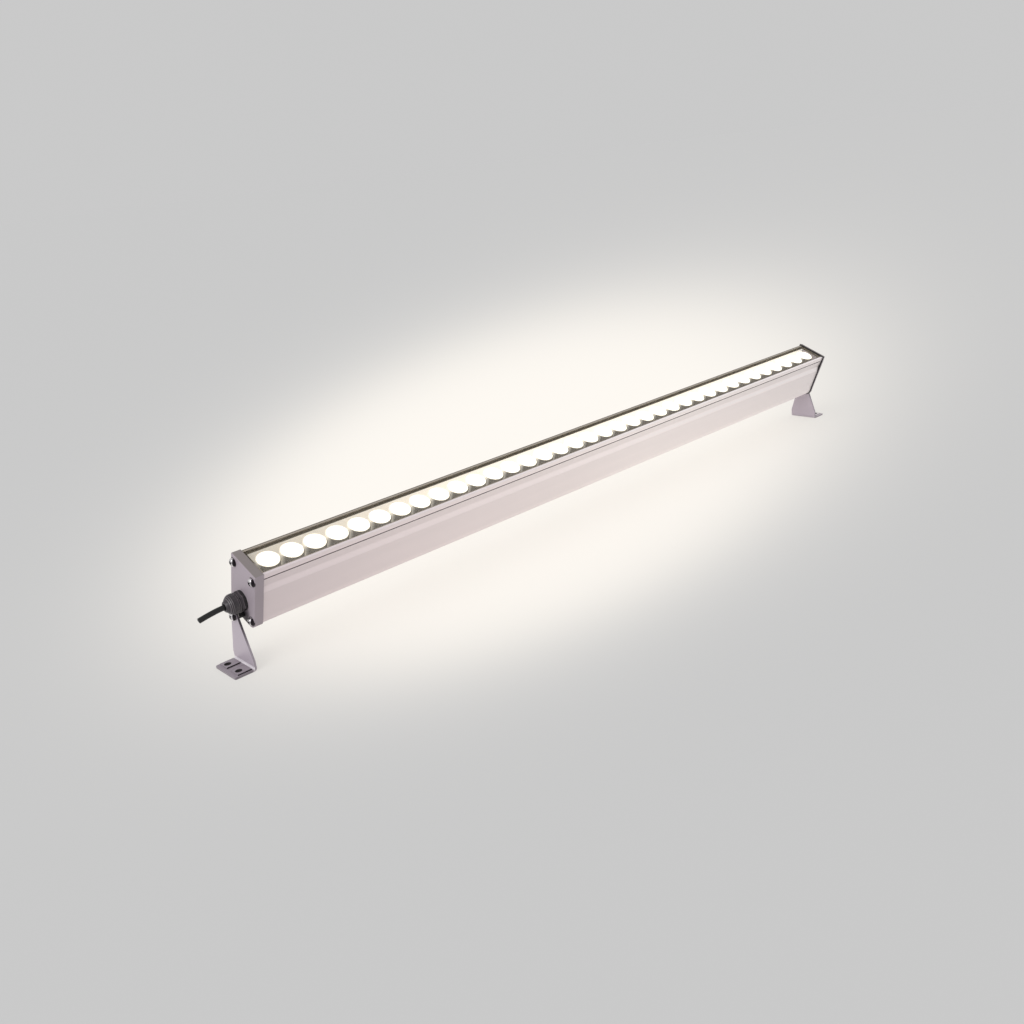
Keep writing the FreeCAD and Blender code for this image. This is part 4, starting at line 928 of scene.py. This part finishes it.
# %% The section of the bar
BAR_START = -489.2
BAR_LENGTH = 985.0
BAR_HALF = 21.25
BAR_BOTTOM = -6.25
RIM = 61.25
CHAMBER_HALF = 15.2
RECESS_HALF = 18.3
LEDGE = 58.65
SHELF_TOP = 45.05
SHELF_BOTTOM = 42.05
SMALL_ROUND = 0.3
GROOVE_TOP = RIM - 5.6
GROOVE_END = RIM - 6.7
GROOVE_DEPTH = 0.8

bar_right = [
    (BAR_HALF, BAR_BOTTOM, 6.75),
    (BAR_HALF, RIM - 24.2, 2.5),
    (BAR_HALF - 1.5, RIM - 16.7, 1.5),
    (BAR_HALF, GROOVE_END, 0.15),
    (BAR_HALF - GROOVE_DEPTH, GROOVE_END, 0.05),
    (BAR_HALF - GROOVE_DEPTH, GROOVE_TOP, 0.05),
    (BAR_HALF, GROOVE_TOP, 0.15),
    (BAR_HALF, RIM, SMALL_ROUND),
    (RECESS_HALF, RIM, SMALL_ROUND),
    (RECESS_HALF, LEDGE, 0.1),
    (CHAMBER_HALF, LEDGE, 0.2),
    (CHAMBER_HALF, SHELF_TOP, 0.4),
]
chamber_right = [
    (4.3, -3.25, 0.6),
    (14.2, -3.25, 0.6),
    (14.2, 5.2, 0.6),
    (18.75, 5.2, 0.6),
    (18.75, SHELF_BOTTOM, 1.0),
]
PIVOT_BOSS = [(-4.3, 2.15, 0.3), (-2.15, 4.3, 0.3), (2.15, 4.3, 0.3), (4.3, 2.15, 0.3)]
PORT_RADIUS = 1.6
PIVOT_BORE = 2.55
PORTS = [(side * SCREW_SIDE, height, PORT_RADIUS)
         for side in (-1, 1) for height in (SCREW_HIGH, SCREW_LOW)]
PORTS += [(0, 0, PIVOT_BORE)]

# %% Loops of the section


def mirrored(half):
    return half + [(-across, up, corner) for across, up, corner in reversed(half)]


def circle_points(across, up, radius, count=24):
    turns = [2 * math.pi * step / count for step in range(count)]
    return [(across + radius * math.cos(turn), up + radius * math.sin(turn), 0.0) for turn in turns]


def section_mesh(name, loops):
    """Closed loops of edges in the XY plane, whose points keep their corner radius."""
    mesh = bpy.data.meshes.new(name)
    places, sides, corners = [], [], []
    for loop in loops:
        first = len(places)
        places += [(across * MM, up * MM, 0) for across, up, _ in loop]
        corners += [corner * MM for _, _, corner in loop]
        sides += [(first + index, first + (index + 1) % len(loop)) for index in range(len(loop))]
    mesh.from_pydata(places, sides, [])
    mesh.attributes.new("corner", "FLOAT", "POINT").data.foreach_set("value", corners)
    return mesh


bar_loops = [mirrored(bar_right), mirrored(chamber_right) + PIVOT_BOSS]
bar_loops += [circle_points(*port) for port in PORTS]
print("points in the section:", sum(len(loop) for loop in bar_loops))

# %% Push the section to its length
HAIR = 0.05

given = geometry_tree("pushed_section", {
    "Length": "Float", "Corner Steps": "Int", "Outside": "Material", "Trough": "Material",
    "Groove": "Material"})
line = given["Geometry"].node("GeometryNodeMeshToCurve", None, {0: given["Geometry"]})
corner = line.node("GeometryNodeInputNamedAttribute", {"data_type": "FLOAT"}, {"Name": "corner"})
rounded = line.node("GeometryNodeFilletCurve", {"mode": "POLY"}, {
    "Curve": line, "Count": given["Corner Steps"], "Radius": corner, "Limit Radius": True})
filled = rounded.node("GeometryNodeFillCurve", {"mode": "TRIANGLES"}, {0: rounded})
upwards = filled.node("ShaderNodeCombineXYZ", None, {"Z": 1.0})
pushed = filled.node("GeometryNodeExtrudeMesh", None, {
    "Mesh": filled, "Offset": upwards, "Offset Scale": given["Length"], "Individual": False})
underside = filled.node("GeometryNodeFlipFaces", None, {0: filled})
joined = filled.node("GeometryNodeJoinGeometry")
for part in (underside, pushed):
    joined.tree.links.new(part.output, joined.output.node.inputs[0])
whole = joined.node("GeometryNodeMergeByDistance", None, {0: joined, "Distance": 0.001 * MM})
spot = whole.node("GeometryNodeInputPosition")
across = spot.node("ShaderNodeSeparateXYZ", None, {0: spot}, take=0)
up = spot.node("ShaderNodeSeparateXYZ", None, {0: spot}, take=1)
out = across.maths("ABSOLUTE")
inside = (out < (RECESS_HALF + HAIR) * MM) * (up > (SHELF_TOP - 10 * HAIR) * MM)
back_rim = (across > (RECESS_HALF - HAIR) * MM) * (up > (RIM - 5 * HAIR) * MM)
in_groove = (out > (BAR_HALF - GROOVE_DEPTH - HAIR) * MM) * (out < (BAR_HALF - 2 * HAIR) * MM)
in_groove = in_groove * (up > (GROOVE_END - 2 * HAIR) * MM) * (up < (GROOVE_TOP + 2 * HAIR) * MM)
coloured = whole.node("GeometryNodeSetMaterial", None, {0: whole, "Material": given["Outside"]})
lined = coloured.node("GeometryNodeSetMaterial", None, {
    0: coloured, "Selection": inside.maths("MAXIMUM", back_rim), "Material": given["Trough"]})
darkened = lined.node("GeometryNodeSetMaterial", None, {
    0: lined, "Selection": in_groove, "Material": given["Groove"]})
darkened.node("NodeGroupOutput", None, {0: darkened})

SECTION_TO_LAMP = Matrix(((0, 0, 1, BAR_START * MM), (1, 0, 0, 0), (0, 1, 0, 0), (0, 0, 0, 1)))
bar = run_tree("bar_housing", section_mesh("bar_section", bar_loops), given, {
    "Length": BAR_LENGTH * MM, "Corner Steps": 5,
    "Outside": finishes["drawn_aluminium"], "Trough": finishes["trough_aluminium"],
    "Groove": finishes["groove_shade"]},
    to_floor=LAMP_TO_FLOOR @ SECTION_TO_LAMP)
dressed(settled(bar), "lamp", "anodised_extrusion", "housing_extrusion")

# %% [markdown]
# ## The lenses
#
# One lens is a clear cone with a flat face: a profile turned about its own axis. The tree stands copies
# of it in a row, one for each light, at one pitch.

# %% Turn a profile, and set out a row
LENS_FOOT_Z = 46.95
LENS_PROFILE = [(2.7, 6.05), (3.45, 2.6), (5.5, 2.6), (7.2, 4.9), (8.7, 7.1), (10.15, 9.7),
                (11.65, 9.7), (11.75, 9.85), (11.75, 11.2), (11.5, 11.45), (10.9, 11.45), (10.6, 11.25),
                (7.5, 11.42), (3.75, 11.5)]


def turned_mesh(name, profile, steps=32, ring=False):
    """A closed form from (radius, height) points in millimetres, turned about Z. A ring has a bore."""
    builder = bmesh.new()
    points = [builder.verts.new((radius * MM, 0, height * MM)) for radius, height in profile]
    sides = [builder.edges.new(pair) for pair in zip(points, points[1:] + points[:1] * ring)]
    bmesh.ops.spin(builder, geom=points + sides, cent=(0, 0, 0), axis=(0, 0, 1), dvec=(0, 0, 0),
                   angle=2 * math.pi, steps=steps, use_merge=True)
    bmesh.ops.remove_doubles(builder, verts=builder.verts, dist=MERGE_WITHIN)
    bmesh.ops.holes_fill(builder, edges=[side for side in builder.edges if side.is_boundary], sides=0)
    bmesh.ops.recalc_face_normals(builder, faces=builder.faces)
    return built(name, builder)


row = geometry_tree("row_of_lenses", {
    "Count": "Int", "Pitch": "Float", "First": "Float", "Height": "Float", "Finish": "Material"})
first = row["First"].node("ShaderNodeCombineXYZ", None, {"X": row["First"], "Z": row["Height"]})
step = row["Pitch"].node("ShaderNodeCombineXYZ", None, {"X": row["Pitch"]})
places = step.node("GeometryNodeMeshLine", None, {
    "Count": row["Count"], "Start Location": first, "Offset": step})
copies = places.node("GeometryNodeInstanceOnPoints", None, {
    "Points": places, "Instance": row["Geometry"]})
close_tree(copies, row["Finish"])

lenses = run_tree("lenses_in_row", turned_mesh("lens", LENS_PROFILE), row, {
    "Count": LENS_COUNT, "Pitch": LENS_PITCH * MM, "First": (ROW_START + LENS_PITCH / 2) * MM,
    "Height": LENS_FOOT_Z * MM, "Finish": finishes["clear_lens"]})
dressed(settled(lenses), "lamp", "clear_lens", "lenses")

# %% [markdown]
# ## Screws
#
# Each cap is held by four pan head screws, and each bracket by one larger bolt. A head is a flattened
# dome with a cross recess that narrows downwards. The recess is cut from the dome with a Boolean, and
# the tree sets a head on each corner of a rectangle, turned by chance as a real screw stops anywhere.

# %% A pan head with a cross recess
TIP_RADIUS = 0.7
TIP_HEIGHT = 0.6
CROSS_REACH = 0.6
CROSS_DEPTH = 0.75
CROSS_FOOT = (0.45, 0.7)
CROSS_OVER = 0.3
HEAD_SHAPE = [(1.0, 0.0), (1.0, 0.3), (0.97, 0.46), (0.88, 0.63), (0.72, 0.78), (0.5, 0.9), (0.25, 0.975)]


def screw_mesh(name, head_radius, head_height, shank_radius, shank_length, cross):
    """A screw along Z, its seat at Z = 0, with a cross recess in its head."""
    profile = [(shank_radius * TIP_RADIUS, -shank_length),
               (shank_radius, -shank_length + shank_radius * TIP_HEIGHT), (shank_radius, 0.0)]
    profile += [(head_radius * out, head_height * up) for out, up in HEAD_SHAPE]
    head = add_object(name, turned_mesh(name, profile, steps=36))
    builder = bmesh.new()
    reach, half, depth = head_radius * CROSS_REACH, cross / 2, head_height * CROSS_DEPTH
    for turn in (0, 90):
        arm = bmesh.ops.create_cube(builder, size=1)["verts"]
        for corner in arm:
            low = corner.co.z < 0
            corner.co.x *= 2 * (reach * (CROSS_FOOT[0] if low else 1.0)) * MM
            corner.co.y *= 2 * (half * (CROSS_FOOT[1] if low else 1.0)) * MM
            corner.co.z = (head_height - depth if low else head_height + CROSS_OVER) * MM
        bmesh.ops.rotate(builder, verts=arm, cent=(0, 0, 0),
                         matrix=Matrix.Rotation(math.radians(turn), 3, "Z"))
    cutter = add_object(name + "_recess", built(name + "_recess", builder))
    cut = head.modifiers.new("recess", "BOOLEAN")
    cut.solver = "EXACT"
    cut.use_self = True
    cut.object = cutter
    mesh = applied(head)
    bpy.data.objects.remove(head)
    bpy.data.objects.remove(cutter)
    return mesh


# %% Set the screws on a rectangle
square = geometry_tree("screws_on_rectangle", {
    "Across": "Float", "Up": "Float", "Middle": "Vector", "Facing": "Vector", "Columns": "Int",
    "Seed": "Int", "Finish": "Material"})
grid = square["Up"].node("GeometryNodeMeshGrid", None, {
    "Size X": square["Up"], "Size Y": square["Across"],
    "Vertices X": square["Columns"], "Vertices Y": square["Columns"]})
stood = grid.node("GeometryNodeTransform", None, {
    "Geometry": grid, "Translation": square["Middle"], "Rotation": Euler((0, math.radians(90), 0))})
chance = stood.node("FunctionNodeRandomValue", {"data_type": "FLOAT"}, {
    2: 0.0, 3: math.pi / 2, "Seed": square["Seed"]}, take=1)
twist = chance.node("FunctionNodeAxisAngleToRotation", None, {"Axis": (0, 0, 1), "Angle": chance})
outwards = chance.node("FunctionNodeAlignRotationToVector", {"axis": "Z"}, {
    "Rotation": twist, "Vector": square["Facing"]})
heads = stood.node("GeometryNodeInstanceOnPoints", None, {
    "Points": stood, "Instance": square["Geometry"], "Rotation": outwards})
close_tree(heads, square["Finish"])

# %% Cap screws and pivot bolts
CAP_FACE = 500
SCREW_SEAT = CAP_FACE - 0.1
BOLT_SEAT = CAP_FACE + 10.7
SCREW_SEED = 7
BOLT_SEED = 21
CAP_SCREW = {
    "head_radius": 4.5, "head_height": 4.0, "shank_radius": 1.5, "shank_length": 18, "cross": 1.7}
PIVOT_BOLT = {
    "head_radius": 4.8, "head_height": 3.4, "shank_radius": 2.45, "shank_length": 28, "cross": 1.5}

for end, side in (("near", -1), ("far", 1)):
    shared = {"Facing": (side, 0, 0), "Finish": finishes["bright_steel"]}
    screws = run_tree("cap_screw_set_" + end, screw_mesh("cap_screw", **CAP_SCREW), square, {
        "Across": 2 * SCREW_SIDE * MM, "Up": 2 * SCREW_RISE * MM, "Columns": 2, "Seed": SCREW_SEED + side,
        "Middle": (side * SCREW_SEAT * MM, 0, SCREW_CENTRE * MM), **shared})
    dressed(settled(screws), "lamp", "bright_steel", "cap_screws_" + end)
    bolt = run_tree("pivot_bolt_" + end + "_turned", screw_mesh("pivot_bolt", **PIVOT_BOLT), square, {
        "Across": 0.0, "Up": 0.0, "Columns": 1, "Seed": BOLT_SEED + side,
        "Middle": (side * BOLT_SEAT * MM, 0, 0), **shared})
    dressed(settled(bolt), "lamp", "bright_steel", "pivot_bolt_" + end)

# %% [markdown]
# ## Caps, gaskets and brackets
#
# These keep the exact CAD form, softened. The far gasket stands out past its cap and draws a black line
# round the bar's end. Both ends are made of the same five pieces, so one list serves the two.

# %% Soften the larger pieces
END_PIECES = [
    ("cap_casting", "end_cap_", "cap_paint", 0.3, 3),
    ("gasket_sheet", "cap_gasket_", "black_rubber", 0.15, 2),
    ("bracket_sheet", "bracket_", "bracket_paint", 0.3, 3),
    ("spacer_turned", "pivot_spacer_", "blackened_steel", 0.25, 2),
    ("washer_stamped", "pivot_washer_", "bright_steel", 0.15, 2),
]
for end in ("near", "far"):
    for form, node, finish, edge, steps in END_PIECES:
        body = end + "_bracket" if node == "bracket_" else "lamp"
        dressed(softened(end + "_" + form, node + end, finish, edge, steps), body, finish, node + end)

# %% [markdown]
# ## The cable gland
#
# A black washer seals the gland to the cap. A hexagon holds its body, and a dome nut presses a rubber
# seal round the cable. The dome is moulded in steps that narrow towards the cable. Washer and nut are
# profiles turned about the gland's axis, which one matrix lays along the bar.

# %% Gland washer, body and nut
GLAND_AXIS = 16.5
GLAND_STEPS = 48
WASHER_PROFILE = [(8.3, 0.0), (10.7, 0.0), (10.9, 0.2), (10.9, 2.0), (10.7, 2.2), (8.3, 2.2)]
NUT_PROFILE = [
    (8.05, 6.6), (10.35, 6.6), (10.6, 6.85), (10.6, 7.8), (10.2, 7.95), (10.2, 8.35), (10.45, 8.5),
    (10.45, 12.3), (10.75, 12.4), (10.7, 13.1), (10.05, 13.25), (10.0, 13.6), (10.35, 13.7), (9.9, 14.6),
    (9.25, 14.75), (9.15, 15.05), (9.55, 15.15), (8.85, 16.05), (8.2, 16.15), (8.1, 16.4), (8.45, 16.5),
    (7.5, 17.4), (6.7, 17.5), (6.2, 18.6), (5.5, 19.7), (4.9, 20.2), (3.8, 20.2), (3.4, 19.9),
    (3.4, 18.5), (4.2, 18.3), (4.2, 14.8), (5.8, 14.8), (5.8, 13.5), (8.05, 13.5)]
GLAND_TO_LAMP = (Matrix.Translation((-CAP_FACE * MM, 0, GLAND_AXIS * MM))
                 @ Matrix.Rotation(math.radians(-90), 4, "Y"))


def gland_ring(name, profile, finish, node):
    """A turned ring of the gland, in the place of its CAD node."""
    mesh = turned_mesh(name, profile, steps=GLAND_STEPS, ring=True)
    mesh.transform(LAMP_TO_FLOOR @ GLAND_TO_LAMP)
    mesh.materials.append(finishes[finish])
    return dressed(settled(add_object(name, mesh)), "lamp", finish, node)


gland_ring("gland_washer_pressed", WASHER_PROFILE, "black_rubber", "gland_washer")
dressed(softened("gland_hexagon", "gland_body", "gland_plastic", 0.3), "lamp", "gland_plastic",
        "gland_body")
gland_ring("gland_dome_nut", NUT_PROFILE, "gland_plastic", "gland_nut")

# %% [markdown]
# ## Grip ribs
#
# Fingers grip the nut by ribs along its straight part. Each is the same rounded bar, so a tree sets it
# out in a ring, standing on the nut's side.

# %% Ribs in a ring
RIB_COUNT = 16
RIB_SIZE = (3.8, 2.2, 0.35)
RIB_TOP = (0.82, 0.5)
RIB_SUNK = 0.4
RIB_ROUND = 0.12
RIB_MIDDLE = CAP_FACE + 10.4
NUT_RADIUS = 10.45


def rib_mesh(length, width, height):
    """A low rounded bar along X, its foot at Z = 0."""
    builder = bmesh.new()
    bar_verts = bmesh.ops.create_cube(builder, size=1)["verts"]
    for corner in bar_verts:
        top = corner.co.z > 0
        corner.co.x *= (length * (RIB_TOP[0] if top else 1.0)) * MM
        corner.co.y *= (width * (RIB_TOP[1] if top else 1.0)) * MM
        corner.co.z = (height if top else -RIB_SUNK) * MM
    bmesh.ops.bevel(builder, geom=builder.edges[:], offset=RIB_ROUND * MM, offset_type="OFFSET",
                    segments=2, profile=0.5, affect="EDGES", clamp_overlap=True)
    return built("grip_rib", builder)


ribs = geometry_tree("ribs_in_ring", {
    "Count": "Int", "Radius": "Float", "Middle": "Vector", "Finish": "Material"})
ring = ribs["Count"].node("GeometryNodeMeshCircle", None, {
    "Vertices": ribs["Count"], "Radius": ribs["Radius"]})
stood = ring.node("GeometryNodeTransform", None, {
    "Geometry": ring, "Rotation": Euler((0, math.radians(90), 0))})
spot = stood.node("GeometryNodeInputPosition")
outwards = spot.node("FunctionNodeAlignRotationToVector", {"axis": "Z", "pivot_axis": "X"}, {
    "Vector": spot})
bars = stood.node("GeometryNodeInstanceOnPoints", None, {
    "Points": stood, "Instance": ribs["Geometry"], "Rotation": outwards})
moved = bars.node("GeometryNodeTransform", None, {"Geometry": bars, "Translation": ribs["Middle"]})
close_tree(moved, ribs["Finish"])

grip = run_tree("gland_nut_ribs", rib_mesh(*RIB_SIZE), ribs, {
    "Count": RIB_COUNT, "Radius": NUT_RADIUS * MM, "Middle": (-RIB_MIDDLE * MM, 0, GLAND_AXIS * MM),
    "Finish": finishes["gland_plastic"]})
dressed(settled(grip), "lamp", "gland_plastic")

# %% [markdown]
# ## The cut end of the cable
#
# Where the jacket was cut, three insulated cores show their copper. They are short turned pins, set a
# little proud of the jacket's face, and they belong to the cable.

# %% Cores and the cable's own facts
CORE_COUNT = 3
CORE_CIRCLE = 1.15
CORE_PROFILE = [(0.95, -0.6), (0.95, 0.35), (0.85, 0.4), (0.5, 0.4), (0.5, 0.28)]

core_builder = bmesh.new()
across_cable = cable_way.cross(Vector((0, 0, 1))).normalized()
face = Matrix((across_cable, cable_way.cross(across_cable), cable_way)).transposed().to_4x4()
face.translation = cable_end - cable_way * CORE_REACH
for index in range(CORE_COUNT):
    turn = 2 * math.pi * index / CORE_COUNT
    offset = Vector((math.cos(turn), math.sin(turn), 0)) * CORE_CIRCLE * MM
    core = turned_mesh("core", CORE_PROFILE, steps=16)
    core.transform(face @ Matrix.Translation(offset))
    core_builder.from_mesh(core)
core_mesh = built("cable_cores", core_builder)
core_mesh.materials.append(finishes["tray_plastic"])
cores = dressed(settled(add_object("cable_cores", core_mesh)), "lamp", "cable_jacket")

cable.data.materials.append(finishes["cable_jacket"])
dressed(cable, "lamp", "cable_jacket", "supply_cable")

# %% [markdown]
# ## Finishes for the CAD pieces that stay
#
# The other pieces already have the right form. Each takes the finish that the table below gives it.

# %% Hand out finishes
OWN_FINISH = {
    "glass_cover": "cover_glass",
    "glass_seal": "edge_sealant",
    "led_board_near": "lamp_board",
    "led_board_middle": "lamp_board",
    "led_board_far": "lamp_board",
    "heat_tapes": "heat_tape",
    "led_emitters": "lamp_chip",
    "lens_holders": "holder_plastic",
    "board_screws": "zinc_steel",
    "board_links": "link_plastic",
    "friction_washer_near": "pale_nylon",
    "friction_washer_far": "pale_nylon",
    "gland_seal": "black_rubber",
    "cable_tail": "cable_jacket",
    "driver_tray": "tray_plastic",
    "driver_board": "driver_laminate",
    "input_terminal": "terminal_plastic",
    "mains_fuse": "fuse_body",
    "surge_varistor": "varistor_coat",
    "suppression_capacitor": "film_capacitor",
    "mains_choke": "ferrite",
    "bridge_rectifier": "rectifier_epoxy",
    "bulk_capacitor": "capacitor_sleeve",
    "transistor_heat_sink": "heat_sink_aluminium",
    "switching_transistor": "rectifier_epoxy",
    "transformer_core": "ferrite",
    "transformer_winding": "winding_tape",
    "output_capacitors": "capacitor_sleeve",
    "output_terminal": "terminal_plastic",
    "mains_leads": "lead_insulation",
    "lamp_leads": "lead_insulation",
    "earth_lead": "earth_insulation",
    "earth_tag": "zinc_steel",
    "earth_screw": "zinc_steel",
}
for node, finish in OWN_FINISH.items():
    for place in nodes[node].material_slots:
        place.material = finishes[finish]
shown = [name for name, node in nodes.items() if not node.hide_render]
print("CAD pieces shown:", len(shown), "without a finish:", sorted(set(shown) - set(OWN_FINISH)))

# %% [markdown]
# ## The pool of light
#
# A plain floor runs out to the horizon, where it meets a world of nearly the same grey. Round the lamp
# lies a pool of warm light: an ellipse that widens towards the back. It is painted on the floor, fitted to
# the photograph, and no lamp throws it, so it stays the same when the lamp moves. Two sloping lines over
# the floor count how far a place is from its middle, along it and across it, and a third widens it.
#
# Rays that the camera sees, straight or by way of gloss or glass, mostly take the floor's colour as it is
# written. The smaller share takes the light that really falls there, which keeps the shadow under the
# lamp but makes it faint.

# %% The pool and the floor
BACKDROP_GREY = 0.588
FLOOR_GREY = 0.576
POOL_LIGHT = (0.985, 0.945, 0.885)
POOL_ALONG = (0.928, 0.899, -0.181)
POOL_ACROSS = (1.393, -2.01, 0.348)
POOL_WIDENING = (0.477, 0.493, 1.0)
LEAST_WIDENING = 0.05
POOL_FARTHEST = 20.0
POOL_EDGE = 7.5
SEEN_SHARE = 0.7
FLOOR_HALF = 60.0


def sloping(place, slope):
    """A number that changes evenly over the floor."""
    return place[0] * slope[0] + place[1] * slope[1] + slope[2]


def seen(start):
    """1 for a ray that the camera sees, straight or by way of gloss or glass."""
    rays = [start.node("ShaderNodeLightPath", take="Is %s Ray" % kind)
            for kind in ("Camera", "Glossy", "Transmission")]
    return rays[0].maths("MAXIMUM", rays[1]).maths("MAXIMUM", rays[2])


start = start_finish("pale_floor")
place = apart(start, (1000, 1000, 1000), leaning=False)
widening = sloping(place, POOL_WIDENING).maths("MAXIMUM", LEAST_WIDENING)
along, across = [sloping(place, slope) / widening for slope in (POOL_ALONG, POOL_ACROSS)]
distance = (along ** 2 + across ** 2).maths("SQRT").maths("MINIMUM", POOL_FARTHEST)
pool = (distance ** POOL_EDGE + 1.0) ** -1.0
tone = mixed(pool, (FLOOR_GREY,) * 3, POOL_LIGHT)
matte = start.node("ShaderNodeBsdfPrincipled", None, {"Base Color": tone, "Roughness": 0.9})
plain = start.node("ShaderNodeEmission", None, {"Color": tone, "Strength": 1.0})
both = start.node("ShaderNodeMixShader", None, {0: seen(start) * SEEN_SHARE, 1: matte, 2: plain})
start.node("ShaderNodeOutputMaterial", None, {"Surface": both})

floor_mesh = bpy.data.meshes.new("floor")
floor_corners = [(FLOOR_HALF * x, FLOOR_HALF * y, 0) for x, y in ((-1, -1), (1, -1), (1, 1), (-1, 1))]
floor_mesh.from_pydata(floor_corners, [], [(0, 1, 2, 3)])
floor = add_object("floor", floor_mesh)
floor_mesh.materials.append(finishes["pale_floor"])
print("floor: %.0f m wide" % (2 * FLOOR_HALF))

# %% [markdown]
# ## World and sun
#
# The world gives even white light from all round. What the camera sees of it is the backdrop's grey, so
# brightness and backdrop are set apart. One very wide sun from beyond the near end gives the forms a soft
# side.

# %% World and sun
WORLD_LEVEL = 0.8
SUN_STRENGTH = 1.4
SUN_FROM = (-0.8, -0.2, 0.57)
SUN_WIDTH = 50

world = bpy.data.worlds.new("even_light")
bpy.context.scene.world = world
world.use_nodes = True
world.node_tree.nodes.clear()
sky = Socket(world.node_tree)
light = sky.node("ShaderNodeBackground", None, {"Color": (1, 1, 1, 1), "Strength": WORLD_LEVEL})
grey = sky.node("ShaderNodeBackground", None, {"Color": (1, 1, 1, 1), "Strength": BACKDROP_GREY})
either = sky.node("ShaderNodeMixShader", None, {0: seen(sky), 1: light, 2: grey})
sky.node("ShaderNodeOutputWorld", None, {"Surface": either})

sun_data = bpy.data.lights.new("sun", "SUN")
sun_data.energy = SUN_STRENGTH
sun_data.angle = math.radians(SUN_WIDTH)
sun = add_object("sun", sun_data)
sun.rotation_euler = Vector(SUN_FROM).to_track_quat("Z", "Y").to_euler()
bpy.context.scene.view_settings.view_transform = "Standard"
print("world level:", WORLD_LEVEL, "sun strength:", SUN_STRENGTH)
